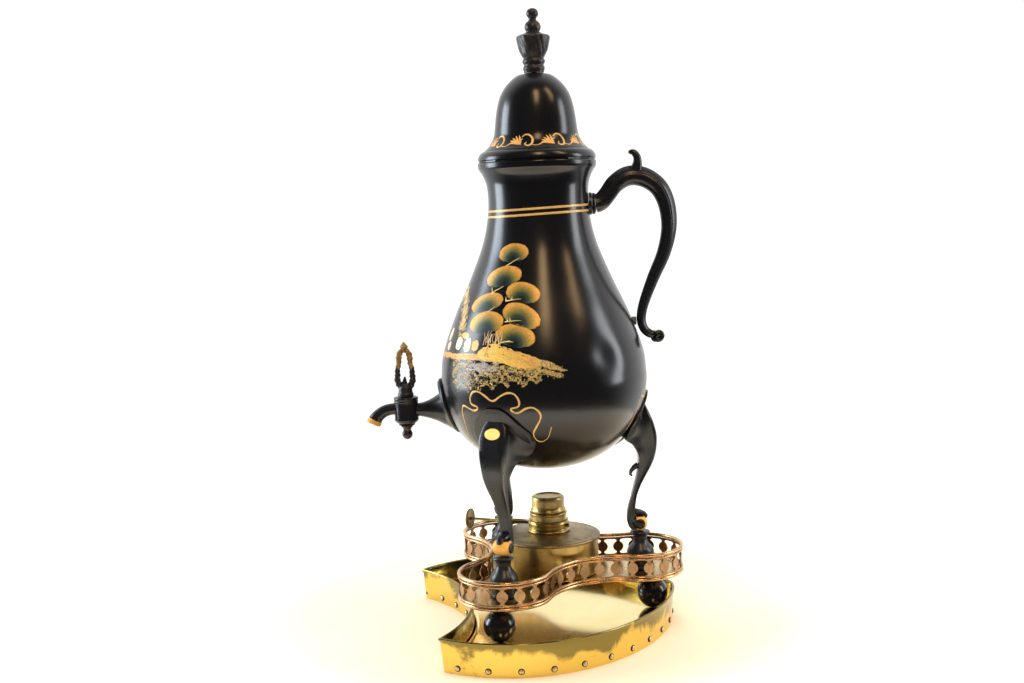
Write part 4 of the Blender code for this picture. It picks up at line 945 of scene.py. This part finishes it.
def plate_row(z, half):
    row = []
    for share, lift in PLATE_SECTION:
        out, y = profile_radius(outer_line, z) + lift, share * half
        row.append(Vector((math.sqrt(out * out - y * y), y, z)) * MM)
    return row


def bar_along(points, radii, sides, widen=1.0):
    """Rows of a small cast bar through (x, z) points in the leg's own plane, in millimetres."""
    return [[Vector((p[0] + r * math.cos(turn) * n[0], r * widen * math.sin(turn),
                     p[1] + r * math.cos(turn) * n[1])) * MM for turn in turns(sides)]
            for p, r, n in zip(points, radii, line_normals(points))]


def line_normals(points):
    found = []
    for i in range(len(points)):
        a, b = points[max(i - 1, 0)], points[min(i + 1, len(points) - 1)]
        along = Vector((b[0] - a[0], b[1] - a[1])).normalized()
        found.append((-along.y, along.x))
    return found


def oval_rows(half_wide, half_high, z_middle, proud):
    """Rings of a painted oval on the leg's flat front, from its rim to its middle."""
    rows = []
    for share in (1.0, 0.97, 0.7, 0.35, 0.02):
        row = []
        for turn in turns(40):
            z = z_middle + half_high * share * math.sin(turn)
            for upper, lower in zip(leg_line, leg_line[1:]):
                if lower[1] <= z <= upper[1]:
                    t = (upper[1] - z) / (upper[1] - lower[1])
                    x = upper[0] + (lower[0] - upper[0]) * t
                    break
            row.append(Vector((x + (proud if share < 1 else -0.05), half_wide * share * math.cos(turn), z)) * MM)
        rows.append(row)
    return rows


TOE_X, TOE_Z = 69.4, 77.1
SCROLL_SIDE = [(0, 7.1), (1.0, 7.1), (1.5, 6.8), (2.0, 7.15), (2.9, 7.05), (3.4, 6.6), (3.9, 6.7), (4.6, 6.2),
               (5.2, 5.3), (5.7, 4.0), (6.0, 2.4), (6.1, 0.8)]
LEAF_PATH = [(64.6, 86.6), (66.8, 85.6), (69.2, 84.6), (71.6, 84.2), (73.6, 83.4), (74.9, 81.9), (75.0, 80.4)]
SPUR_PATH = [(69.5, 121.5), (66.4, 119.6), (64.0, 117.0), (63.4, 114.4), (64.6, 113.0)]
OVAL_HALF_WIDE, OVAL_HALF_HIGH, OVAL_Z, OVAL_PROUD = 6.3, 3.9, 161.0, 0.14


def gilt_of_toe(place):
    """Whether the toe's gilding covers a place, given from the scroll's middle in millimetres."""
    return math.hypot(place.x, place.z) > 4.1 and place.x > -2.5 and place.z < 4.9


for side, facing in LEG_ANGLES.items():
    stand_at = Matrix.Translation(AXIS) @ Matrix.Rotation(math.radians(facing), 4, "Z")
    shank = grid_through([leg_row(station) for station in leg_line], fill=True)
    scroll = spun(SCROLL_SIDE + [(r, -y) for r, y in reversed(SCROLL_SIDE)], Vector(), 48)
    scroll.data.transform(Matrix.Translation((TOE_X * MM, 0, TOE_Z * MM)) @ Matrix.Rotation(math.pi / 2, 4, "X"))
    brow = grid_through(bar_along(LEAF_PATH, [1.2, 2.3, 2.5, 2.2, 1.8, 1.3, 0.7], 12, 1.9), fill=True)
    spur = grid_through(bar_along(SPUR_PATH, [2.4, 2.0, 1.5, 1.1, 0.6], 10), fill=True)
    leg = joined([shank, brow, spur])
    leg.data.transform(stand_at)
    add_piece(leg, "leg_cast_" + side, "urn", cast_black, ["leg_" + side], 32)
    finish_with(scroll.data, cast_black, toe_gold)
    for face in scroll.data.polygons:
        face.material_index = int(gilt_of_toe(face.center / MM - Vector((TOE_X, 0, TOE_Z))))
    scroll.data.transform(stand_at)
    add_piece(scroll, "toe_scroll_" + side, "urn", crease=40)
    plate = grid_through([plate_row(p.x, p.y) for p in PLATE_HALVES], fill=True)
    plate.data.transform(stand_at)
    add_piece(plate, "leg_shield_" + side, "urn", cast_black, ["leg_plate_" + side], 30)
    oval = grid_through(oval_rows(OVAL_HALF_WIDE, OVAL_HALF_HIGH, OVAL_Z, OVAL_PROUD), fill=True)
    oval.data.transform(stand_at)
    add_piece(oval, "knee_oval_" + side, "urn", knee_gold, [], 40)

# ---------------------------------------------------------------------------------------------------
# Painting. Bronze powder and oil colour: pines like tufted clouds over a golden island with pale huts, ribbons
# round the legs, stripes round the neck and leaves round the lid. Each stroke is a thin raised body of paint,
# so its mesh is written point by point, because operators can't lay thousands of strokes on a curved surface.

paint, node, link, shader = nodes_of("brushed_gold_and_colour")
tint = node("ShaderNodeAttribute", attribute_name="paint")
grains = node("ShaderNodeTexNoise", Scale=1500.0, Detail=3.0)
link(node("ShaderNodeTexCoord").outputs["Object"], grains.inputs["Vector"])
shade = node("ShaderNodeMix", data_type="RGBA", blend_type="MULTIPLY")
shade.inputs["Factor"].default_value = 1.0
link(tint.outputs["Color"], shade.inputs[6])
link(ramp_between(node, link, grains.outputs["Fac"], 0.3, 0.62, (0.62, 0.60, 0.55), (1.0, 1.0, 1.0)),
     shade.inputs[7])
link(shade.outputs[2], shader.inputs["Base Color"])
shader.inputs["Roughness"].default_value = 0.36
shader.inputs["Metallic"].default_value = 0.2
ridges = node("ShaderNodeBump", Strength=0.4, Distance=0.0001)
link(grains.outputs["Fac"], ridges.inputs["Height"])
link(ridges.outputs["Normal"], shader.inputs["Normal"])

GOLD = (0.72, 0.37, 0.07)
PALE_GOLD = (0.74, 0.44, 0.13)
OLIVE = (0.27, 0.21, 0.045)
DEEP_GREEN = (0.035, 0.065, 0.05)
UNDER_GREEN = (0.006, 0.009, 0.008)
TWIG_YELLOW = (0.95, 0.76, 0.28)
CREAM = (0.95, 0.88, 0.70)
random.seed(4)


def on_lacquer(profile, degrees, z):
    """(place, outward direction) on the turned surface, in millimetres from the urn's axis."""
    turn = math.radians(degrees)
    slope = profile_radius(profile, z + 0.5) - profile_radius(profile, z - 0.5)
    radius = profile_radius(profile, z)
    out = Vector((math.cos(turn), math.sin(turn), -slope)).normalized()
    return Vector((radius * math.cos(turn), radius * math.sin(turn), z)), out


def on_patch(profile, centre, half_wide, half_high, tilt, u, v):
    """(degrees, height) of a place given as (across, up) from -1 to 1 on a leaning oval patch."""
    angle, z_middle = centre
    lean = math.radians(tilt)
    s = half_wide * u * math.cos(lean) - half_high * v * math.sin(lean)
    t = half_wide * u * math.sin(lean) + half_high * v * math.cos(lean)
    return angle + math.degrees(s / profile_radius(profile, z_middle)), z_middle + t


class Paint:
    """Gathers brush strokes into one mesh, with each stroke's colour in the attribute called paint."""
    def __init__(self, profile):
        self.profile = profile
        self.points, self.faces, self.colours = [], [], []

    def stroke(self, path, widths, colours, high=0.13, closed=False):
        """A raised stroke through (degrees, height) points, as wide as given, in millimetres."""
        placed = [on_lacquer(self.profile, a, z) for a, z in path]
        count, first = len(path), len(self.points)
        for i, (place, out) in enumerate(placed):
            before = placed[(i - 1) % count if closed else max(i - 1, 0)][0]
            after = placed[(i + 1) % count if closed else min(i + 1, count - 1)][0]
            side = out.cross((after - before).normalized())
            width = widths[i] if isinstance(widths, list) else widths
            colour = colours[i] if isinstance(colours, list) else colours
            for reach, lift in ((-0.5, 0.02), (-0.3, high), (0.3, high), (0.5, 0.02)):
                self.points.append(AXIS + (place + side * width * reach + out * lift) * MM)
                self.colours.append(colour)
        for i in range(count if closed else count - 1):
            a, b = first + 4 * i, first + 4 * ((i + 1) % count)
            for k in range(4):
                j = (k + 1) % 4
                self.faces.append((a + k, b + k, b + j, a + j))
        if not closed:
            last = first + 4 * (count - 1)
            self.faces += [(first + 3, first + 2, first + 1, first), (last, last + 1, last + 2, last + 3)]

    def wash(self, centre, half_wide, half_high, tilt, shade_of, rings=6, around=36, ragged=0.05, high=0.07):
        """A flat patch of paint with a soft ragged edge, shaded by a function of its (across, up) from -1 to 1."""
        first = len(self.points)
        edge = [1 + random.uniform(-ragged, ragged) for _ in range(around)]
        for ring in range(rings + 1):
            share = 1 - ring / rings if ring < rings else 0.02
            for i, turn in enumerate(turns(around)):
                u, v = share * edge[i] * math.cos(turn), share * edge[i] * math.sin(turn)
                spot = on_patch(self.profile, centre, half_wide, half_high, tilt, u, v)
                place, out = on_lacquer(self.profile, *spot)
                self.points.append(AXIS + (place + out * (high if ring else 0.0)) * MM)
                self.colours.append(shade_of(u, v))
        for ring in range(rings):
            for i in range(around):
                j = (i + 1) % around
                a, b = first + ring * around, first + (ring + 1) * around
                self.faces.append((a + i, a + j, b + j, b + i))
        top = first + rings * around
        self.faces.append(tuple(range(top, top + around)))
        self.faces.append(tuple(reversed(range(first, first + around))))

    def finish(self, name, body):
        """Make the gathered strokes one piece that rides on a body."""
        data = bpy.data.meshes.new(name)
        data.from_pydata([tuple(p) for p in self.points], [], self.faces)
        layer = data.color_attributes.new(name="paint", type="FLOAT_COLOR", domain="POINT")
        layer.data.foreach_set("color", [c for colour in self.colours for c in (*colour, 1.0)])
        obj = bpy.data.objects.new(name, data)
        bpy.context.scene.collection.objects.link(obj)
        edit(obj, (bpy.ops.mesh.normals_make_consistent, {"inside": False}))
        add_piece(obj, name, body, paint, crease=60)


def blend_colour(first, second, share):
    share = max(0.0, min(1.0, share))
    return tuple(a + (b - a) * share for a, b in zip(first, second))


def varied(colour, amount=0.12):
    scale = 1 + random.uniform(-amount, amount)
    return tuple(min(1.0, c * scale) for c in colour)


HUB = -0.75                             # where a crown's strokes spring from, below its middle


def crown_shade(u, v):
    """Nearly black under the crown, then green and olive, to orange gold on its rim."""
    reach = math.hypot(u, (v - HUB) / (1 - HUB))
    if reach < 0.42:
        return blend_colour(UNDER_GREEN, DEEP_GREEN, (reach - 0.16) / 0.26)
    if reach < 0.66:
        return blend_colour(DEEP_GREEN, OLIVE, (reach - 0.42) / 0.24)
    return blend_colour(OLIVE, GOLD, (reach - 0.66) / 0.26)


def pine_cloud(canvas, centre, half_wide, half_high, tilt, strokes=560):
    """One pine crown: a shaded wash and a fan of fine strokes that end past its upper edge."""
    canvas.wash(centre, half_wide, half_high, tilt, crown_shade, rings=9, around=60, ragged=0.02)
    for _ in range(strokes):
        fan = math.radians(random.uniform(-4, 184))
        start = random.uniform(0.25, 0.98)
        end = start + random.uniform(0.08, 0.20)
        path, shades = [], []
        darker = random.uniform(0.45, 1.3)
        for k in range(3):
            share = start + (end - start) * k / 2
            u, v = share * math.cos(fan), HUB + (1 - HUB) * share * math.sin(fan)
            inside = min(1.0, 1.035 / max(math.hypot(u, v), 0.01))
            u, v = u * inside, v * inside
            path.append(on_patch(canvas.profile, centre, half_wide, half_high, tilt, u, v))
            shades.append(tuple(min(1.0, c * darker) for c in crown_shade(u, v)))
        if abs(path[0][0] - path[2][0]) + abs(path[0][1] - path[2][1]) > 0.3:
            canvas.stroke(path, [0.10, 0.26, 0.08], shades, high=0.11)


def twig(canvas, path, width=0.85, colour=TWIG_YELLOW):
    line = [(p.x, p.y) for p in smooth_line(path, 3)]
    widths = [width * (1 - 0.55 * i / (len(line) - 1)) * random.uniform(0.75, 1.1) for i in range(len(line))]
    canvas.stroke(line, widths, colour, high=0.2)


# (angle, height) of the middle, half width, half height, lean in degrees
CLOUDS = [((-117.0, 287.2), 11.7, 6.6, 4), ((-122.9, 270.6), 14.4, 7.2, 9), ((-104.9, 259.3), 12.6, 7.2, -10),
          ((-133.4, 252.3), 14.8, 6.5, 12), ((-105.0, 243.6), 14.6, 7.9, -21), ((-129.6, 238.6), 15.2, 7.8, 6),
          ((-107.8, 230.0), 14.8, 7.8, -9)]
pines = Paint(outer_line)
for centre, half_wide, half_high, tilt in CLOUDS:
    pine_cloud(pines, centre, half_wide, half_high, tilt)
TWIGS = [[(-122.3, 278.0), (-118.4, 279.7), (-114.5, 281.7), (-109.6, 283.6)],
         [(-130.1, 258.3), (-127.8, 260.6), (-124.3, 262.1), (-120.9, 264.0)],
         [(-129.6, 258.3), (-130.6, 260.5), (-131.3, 262.8)],
         [(-116.8, 253.6), (-112.8, 254.3), (-109.6, 254.9), (-105.7, 255.0)],
         [(-116.7, 253.2), (-117.0, 255.0), (-117.4, 256.6)], [(-113.2, 254.2), (-112.6, 255.4), (-112.5, 256.8)],
         [(-129.8, 245.9), (-127.5, 247.5), (-124.6, 249.8)],
         [(-115.2, 239.5), (-111.6, 239.9), (-108.0, 240.3), (-104.5, 240.2)],
         [(-113.4, 239.8), (-113.8, 241.0), (-113.9, 242.4)], [(-111.6, 239.9), (-111.8, 241.0), (-112.1, 242.2)],
         [(-117.6, 224.7), (-113.6, 225.9), (-110.3, 226.7)], [(-115.4, 225.4), (-112.0, 226.0), (-108.4, 225.8)]]
for path in TWIGS:
    twig(pines, path)
twig(pines, [(-125.7, 215.5), (-124.3, 221.5), (-124.0, 226.0), (-122.7, 230.8)], 2.2, (0.55, 0.30, 0.16))
twig(pines, [(-121.0, 217.0), (-120.6, 223.0), (-119.0, 228.0)], 1.4, (0.75, 0.48, 0.22))
for _ in range(14):
    angle = random.uniform(-128, -115)
    twig(pines, [(angle, 224 + random.uniform(-1, 2)), (angle + random.uniform(-1, 1), 228),
                 (angle + random.uniform(-1.5, 1.5), 231 + random.uniform(0, 2.5))],
         0.5, varied((0.80, 0.62, 0.38)))
pines.finish("painted_pines", "urn")

island = Paint(outer_line)
# (angle, height) along the hill's crest, and along its foot
HILL_TOP = [(-131.0, 219.0), (-124.1, 224.3), (-119.7, 224.6), (-112.5, 221.9), (-106.0, 219.3), (-99.9, 216.7),
            (-95.1, 214.4)]
HILL_LOW = [(-131.0, 215.0), (-126.0, 213.6), (-119.0, 213.0), (-112.0, 211.0), (-106.0, 208.8), (-100.0, 208.2),
            (-95.1, 211.4)]
HILL_STROKES, SHORE_STROKES, MIST_STROKES = 420, 260, 120
HILL_SHADE, HILL_LIGHT = (0.66, 0.36, 0.09), (0.93, 0.60, 0.13)


def between(stops, share):
    """The values a share of the way along a list of stops."""
    place = share * (len(stops) - 1)
    k, part = int(place), place - int(place)
    return [a + (b - a) * part for a, b in zip(stops[k], stops[k + 1])]


for _ in range(HILL_STROKES):
    across = random.random()
    down = random.random()
    angle, z = between([between(HILL_TOP, across), between(HILL_LOW, across)], down)
    shade = blend_colour(HILL_SHADE, HILL_LIGHT, 1.1 - abs(across - 0.25) * 1.8 + (down - 0.5) * 0.5)
    length = random.uniform(2.2, 4.6)
    island.stroke([(angle, z), (angle + length * 0.5, z - 0.22 * length), (angle + length, z - 0.5 * length)],
                  [0.5, random.uniform(1.2, 1.9), 0.35], varied(shade, 0.14), high=random.uniform(0.06, 0.14))
for _ in range(SHORE_STROKES):
    angle = random.uniform(-176, -128)
    z = 213.8 + random.uniform(-1.6, 2.2) + 0.05 * (angle + 150)
    length = random.uniform(2.0, 5.0)
    shade = blend_colour(GOLD, (0.80, 0.36, 0.12), random.random() * 0.8)
    island.stroke([(angle, z), (angle + length / 2, z - 0.15), (angle + length, z - 0.1)], [0.3, 0.9, 0.3],
                  varied(shade, 0.2), high=random.uniform(0.06, 0.12))
for _ in range(MIST_STROKES):
    angle = random.gauss(-128, 5.5)
    z = random.gauss(208.5, 2.6)
    island.stroke([(angle, z), (angle + 1.5, z + 0.1), (angle + random.uniform(2, 4), z - 0.1)], [0.3, 1.0, 0.3],
                  varied((0.42, 0.39, 0.42), 0.2), high=random.uniform(0.06, 0.11))
HUT_SHADE = (0.9, 0.62, 0.25)
# (angle, height) of the middle, half width, half height, colour
HUTS = [(-149.4, 223.0, 4.3, 4.6, CREAM), (-140.4, 222.4, 3.7, 4.9, CREAM), (-133.8, 222.4, 3.2, 3.8, GOLD),
        (-165.0, 228.0, 3.2, 4.8, CREAM), (-162.5, 219.8, 3.0, 3.2, CREAM), (-144.8, 229.0, 4.6, 2.2, GOLD)]
for angle, z, half_wide, half_high, colour in HUTS:
    island.wash((angle, z), half_wide, half_high, -4,
                lambda u, v, c=colour: blend_colour(c, HUT_SHADE, 1.6 * u),
                rings=4, around=22, ragged=0.10, high=0.12)
    for _ in range(5):
        lean = random.uniform(-3, 3)
        island.stroke([(angle + lean, z + half_high * 0.9), (angle + lean + 0.6, z),
                       (angle + lean, z - half_high * 0.8)],
                      [0.2, 0.55, 0.2], varied(blend_colour(GOLD, colour, 0.5)), high=0.17)
TREE = smooth_line([(-171.9, 258.6), (-163.1, 252.8), (-156.5, 245.4), (-153.2, 238.0), (-151.0, 230.5)], 8)
for p in TREE:
    for _ in range(9):
        angle, z = p.x + random.gauss(0, 2.2), p.y + random.gauss(0, 2.0)
        island.stroke([(angle, z), (angle + 0.8, z + 1.2), (angle + random.uniform(-1, 2), z + 2.4)], [0.2, 0.7, 0.2],
                      varied((0.62, 0.42, 0.17), 0.35), high=random.uniform(0.06, 0.12))
island.finish("painted_island", "urn")

# (angle, upper edge, lower edge) of the foliage under the island
LEAF_ZONE = [(-150.5, 211.0, 193.5), (-143.0, 213.0, 191.0), (-134.0, 212.0, 191.5), (-124.0, 210.5, 193.8),
             (-116.0, 210.0, 195.5), (-108.0, 209.0, 197.0), (-100.0, 208.0, 196.6), (-93.0, 208.6, 199.5)]
leaves = Paint(outer_line)
LEAF_DABS, SPRIG_DABS, FRINGE_DABS = 3600, 520, 230
LEAF_COLOURS = [(0.52, 0.34, 0.10), (0.74, 0.54, 0.22), (0.34, 0.26, 0.08), (0.09, 0.10, 0.04), (0.24, 0.17, 0.07)]


def dab(canvas, angle, z, size, colour):
    lean = random.uniform(0, math.pi)
    da, dz = 1.05 * size * math.cos(lean) * 0.75, size * math.sin(lean)
    canvas.stroke([(angle - da / 2, z - dz / 2), (angle + da / 2, z + dz / 2)], [size * 0.8, size * 0.55], colour,
                  high=random.uniform(0.06, 0.16))


for _ in range(LEAF_DABS):
    angle, top, low = between(LEAF_ZONE, random.random())
    angle += random.uniform(-0.6, 0.6)
    low += 2.2 * math.sin(angle * 0.75)
    down = random.random() ** 0.9
    drift = math.sin(angle * 0.9 + 2.2 * math.sin(angle * 0.33))
    tuft = 0.5 + 0.5 * drift * math.cos((top - down * (top - low)) * 0.8)
    if random.random() < 0.25 + 0.8 * tuft - 0.25 * down:
        weights = [3 * tuft + 0.4, 2.4 * tuft * (1 - down) + 0.2, 1.2, 1.3 * (1 - tuft) + 0.2, 0.8]
        colour = random.choices(LEAF_COLOURS, weights)[0]
        dab(leaves, angle, top + (low - top) * down, random.uniform(0.55, 1.15), varied(colour, 0.25))
SPRIG = smooth_line([(-96.3, 211.6), (-91.1, 210.9), (-86.0, 208.6), (-80.6, 205.4)], 8)
for _ in range(SPRIG_DABS):
    share = random.random()
    p = SPRIG[int(share * (len(SPRIG) - 1))]
    spread = 2.4 * math.sin(math.pi * min(1, 0.25 + share * 0.72))
    dab(leaves, p.x + random.gauss(0, 0.8), p.y + random.uniform(-spread, spread), random.uniform(0.5, 1.0),
        varied(random.choice(LEAF_COLOURS[:3]), 0.25))
for _ in range(FRINGE_DABS):
    share = random.random()
    dab(leaves, -94 + 12 * share + random.gauss(0, 0.8), 206.4 - 4.2 * share + random.gauss(0, 1.1),
        random.uniform(0.5, 0.95), varied(random.choice(LEAF_COLOURS[:3]), 0.25))
leaves.finish("painted_foliage", "urn")

# (angle from the leg, height) along the ribbon that loops over a leg, and along the tail on its left
RIBBON = [(-14.2, 176.3), (-11.4, 177.0), (-10.6, 179.3), (-14.6, 181.1), (-15.0, 185.4), (-12.8, 189.7),
          (-9.2, 190.6), (-5.3, 188.5), (-1.9, 185.4), (0.0, 184.5), (1.9, 185.4), (5.3, 188.5), (9.2, 190.6),
          (12.8, 189.7), (15.0, 185.4), (14.6, 181.1), (10.6, 179.3), (11.4, 177.0), (14.2, 176.3), (18.6, 179.6),
          (22.6, 180.0), (25.8, 176.3), (26.0, 171.8), (23.6, 165.8), (21.5, 160.4), (22.9, 155.6), (26.5, 154.2),
          (30.2, 157.8), (31.9, 165.5)]
LEFT_TAIL = [(-28.6, 154.4), (-26.8, 160.2), (-25.3, 166.0), (-24.6, 171.0), (-23.9, 175.2), (-21.9, 178.8),
             (-18.8, 178.2)]
for side, facing in LEG_ANGLES.items():
    ribbons = Paint(outer_line)
    line = smooth_line([(facing + a, z) for a, z in LEFT_TAIL + RIBBON], 5)
    widths = [1.3 * (0.35 + 0.65 * min(1, 6 * i / len(line), 6 * (1 - i / len(line)))) *
              (1 + 0.16 * math.sin(i * 0.55)) for i in range(len(line))]
    ribbons.stroke([(p.x, p.y) for p in line], widths, [varied(PALE_GOLD, 0.05) for _ in line], high=0.16)
    ribbons.finish("painted_ribbon_" + side, "urn")

STRIPE_HEIGHTS, STRIPE_WIDTH = (318.3, 314.2), 1.6
STRIPE_RISE = 1.45                      # the stripes lean, and stand this much higher on the right
stripes = Paint(outer_line)
for z in STRIPE_HEIGHTS:
    circle_line = [(math.degrees(turn), z + STRIPE_RISE * math.cos(turn)) for turn in turns(160)]
    stripes.stroke(circle_line, STRIPE_WIDTH, [varied(PALE_GOLD, 0.04) for _ in circle_line], high=0.12,
                   closed=True)
stripes.finish("painted_neck_stripes", "urn")

band_of_leaves = Paint(lid_side)
MOTIFS = 9
BAND_Z = 366.7
ORANGE_GOLD = (0.75, 0.33, 0.06)
# (tip across, tip height, base across, width) of each leaf, across as a share of the motif's width
LEAF_TIPS = [(0.02, -2.6, 0.24, 1.5), (0.07, 0.1, 0.26, 1.4), (0.14, 2.0, 0.32, 1.4), (0.24, 3.7, 0.36, 1.3),
             (0.36, 4.1, 0.42, 1.2), (0.50, 1.4, 0.36, 1.2), (0.48, -0.9, 0.32, 1.1)]
CURL = [(0.46, 2.6), (0.56, 4.3), (0.70, 3.9), (0.80, 1.2), (0.78, -2.2), (0.68, -3.6), (0.58, -2.6), (0.62, -1.0)]
ROOT = [(0.78, -2.6), (0.88, -3.4), (0.98, -3.2), (1.06, -2.6)]


def on_band(motif, points):
    """A smooth (degrees, height) line through points given in a motif, as (share across, height over BAND_Z)."""
    start = 360 / MOTIFS * motif - 8
    return [(start + p.x * 360 / MOTIFS, BAND_Z + p.y) for p in smooth_line(points, 4)]


for i in range(MOTIFS):
    for tip_x, tip_z, base_x, width in LEAF_TIPS:
        line = on_band(i, [(tip_x, tip_z), ((tip_x + base_x) / 2, (tip_z - 1.3) / 2 + 0.5), (base_x, -1.6),
                           (0.46, -2.6)])
        last = len(line) - 1
        widths = [width * (0.25 + 1.2 * math.sin(math.pi * min(1, k / last * 0.9))) * 0.86 for k in range(last + 1)]
        band_of_leaves.stroke(line, widths, [varied(blend_colour(PALE_GOLD, ORANGE_GOLD, k / len(line)), 0.06)
                                             for k in range(len(line))], high=0.14)
    curl_path = on_band(i, CURL)
    widths = [1.35 * (0.45 + 0.7 * math.sin(math.pi * k / (len(curl_path) - 1))) for k in range(len(curl_path))]
    band_of_leaves.stroke(curl_path, widths, varied(PALE_GOLD, 0.06), high=0.16)
    band_of_leaves.stroke(on_band(i, ROOT), 0.7, varied(GOLD, 0.06), high=0.12)
band_of_leaves.finish("painted_lid_band", "lid")

# ---------------------------------------------------------------------------------------------------
# Floor, lights and camera: a pale cloth whose edge glows white, painted light that fades it into a white background,
# a cool window on each side, two warm lamps behind the camera, and soft fill from above and in front that isn't seen
# in the gloss.

TABLE_RADIUS = 0.40
table_middle = Vector((0.0, 0.05, 0.0))
deselect_all()
bpy.ops.mesh.primitive_circle_add(vertices=128, radius=TABLE_RADIUS, fill_type="NGON", location=(0, 0, 0))
floor = bpy.context.object
floor.data.transform(Matrix.Translation(table_middle))
floor.name = "floor"
cloth, node, link, shader = nodes_of("pale_table_painted_edge_glow")
place = node("ShaderNodeTexCoord").outputs["Object"]
fold = node("ShaderNodeTexNoise", Scale=3.5, Detail=2.0)
link(place, fold.inputs["Vector"])
link(ramp_between(node, link, fold.outputs["Fac"], 0.35, 0.7, (0.80, 0.70, 0.53), (0.77, 0.66, 0.48)),
     shader.inputs["Base Color"])
shader.inputs["Roughness"].default_value = 0.9
# Painted light: the cloth glows white more and more away from its middle, so that its edge fades into the white
# background.
centred = node("ShaderNodeMapping")
centred.inputs["Location"].default_value = -table_middle
link(place, centred.inputs["Vector"])
away = node("ShaderNodeVectorMath", operation="LENGTH")
link(centred.outputs["Vector"], away.inputs[0])
painted_edge_glow = node("ShaderNodeMapRange", interpolation_type="SMOOTHSTEP")
painted_edge_glow.inputs["From Min"].default_value = 0.42 * TABLE_RADIUS
painted_edge_glow.inputs["From Max"].default_value = 0.92 * TABLE_RADIUS
link(away.outputs["Value"], painted_edge_glow.inputs["Value"])
shader.inputs["Emission Color"].default_value = (1, 1, 1, 1)
link(painted_edge_glow.outputs["Result"], shader.inputs["Emission Strength"])
floor.data.materials.append(cloth)
floor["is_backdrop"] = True

world = bpy.data.worlds.new("white_room")
bpy.context.scene.world = world
world.use_nodes = True
tree = world.node_tree
node, link = node_maker(tree), tree.links.new
parts_of = node("ShaderNodeSeparateXYZ")
link(node("ShaderNodeTexCoord").outputs["Generated"], parts_of.inputs["Vector"])
halved = node("ShaderNodeMath", operation="MULTIPLY_ADD")
halved.inputs[1].default_value = 0.5
halved.inputs[2].default_value = 0.5
link(parts_of.outputs["Y"], halved.inputs[0])
# dark toward the camera and white behind the object, and plain white where the camera looks straight at it
front_to_back = ramp_between(node, link, halved.outputs[0], 0.42, 0.72, (0.03, 0.03, 0.033), (1.15, 1.15, 1.15))
seen = mixed(node, link, node("ShaderNodeLightPath").outputs["Is Camera Ray"], front_to_back, (1.1, 1.1, 1.1))
link(seen, tree.nodes["Background"].inputs["Color"])
tree.nodes["Background"].inputs["Strength"].default_value = 1.0
bpy.context.scene.view_settings.view_transform = "Standard"


def soft_light(name, place, target, wide, high, watts, colour=(1, 1, 1), seen_in_gloss=True):
    data = bpy.data.lights.new(name, "AREA")
    data.shape = "RECTANGLE"
    data.size, data.size_y, data.energy, data.color = wide, high, watts, colour
    lamp = bpy.data.objects.new(name, data)
    lamp.location = place
    lamp.rotation_euler = (Vector(target) - Vector(place)).to_track_quat("-Z", "Y").to_euler()
    lamp.visible_glossy = seen_in_gloss
    bpy.context.scene.collection.objects.link(lamp)


URN_MIDDLE = (0, 0, 0.25)
soft_light("overhead", (0.1, 0.1, 1.6), (0, 0, 0.2), 1.6, 1.2, 21, seen_in_gloss=False)
soft_light("front_fill", (-0.5, -1.6, 0.9), URN_MIDDLE, 1.2, 1.0, 24, seen_in_gloss=False)
soft_light("left_window", (-1.17, 0.22, 0.42), URN_MIDDLE, 0.5, 0.85, 14, (0.78, 0.89, 1.0))
soft_light("right_window", (1.15, -0.12, 0.5), URN_MIDDLE, 0.3, 0.8, 5.5, (0.92, 0.96, 1.0))
soft_light("warm_lamp_middle", (0.1, -1.29, 1.71), URN_MIDDLE, 0.33, 0.9, 9, (1.0, 0.66, 0.33))
soft_light("warm_lamp_right", (1.12, -0.72, 1.70), URN_MIDDLE, 0.3, 0.9, 7, (1.0, 0.66, 0.33))

camera_data = bpy.data.cameras.new("camera")
camera_data.lens = 45.01
camera_data.sensor_width = 36.0
CAMERA_PLACE = Vector((-0.02314, -0.95873, 0.3212))    # from the urn's axis
CAMERA_TILT, CAMERA_ROLL = 83.92, -2.0                 # in degrees
camera = bpy.data.objects.new("camera", camera_data)
bpy.context.scene.collection.objects.link(camera)
camera.matrix_world = (Matrix.Translation(AXIS + CAMERA_PLACE)
                       @ Matrix.Rotation(math.radians(CAMERA_TILT), 4, "X")
                       @ Matrix.Rotation(math.radians(CAMERA_ROLL), 4, "Z"))
bpy.context.scene.camera = camera

low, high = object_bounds()
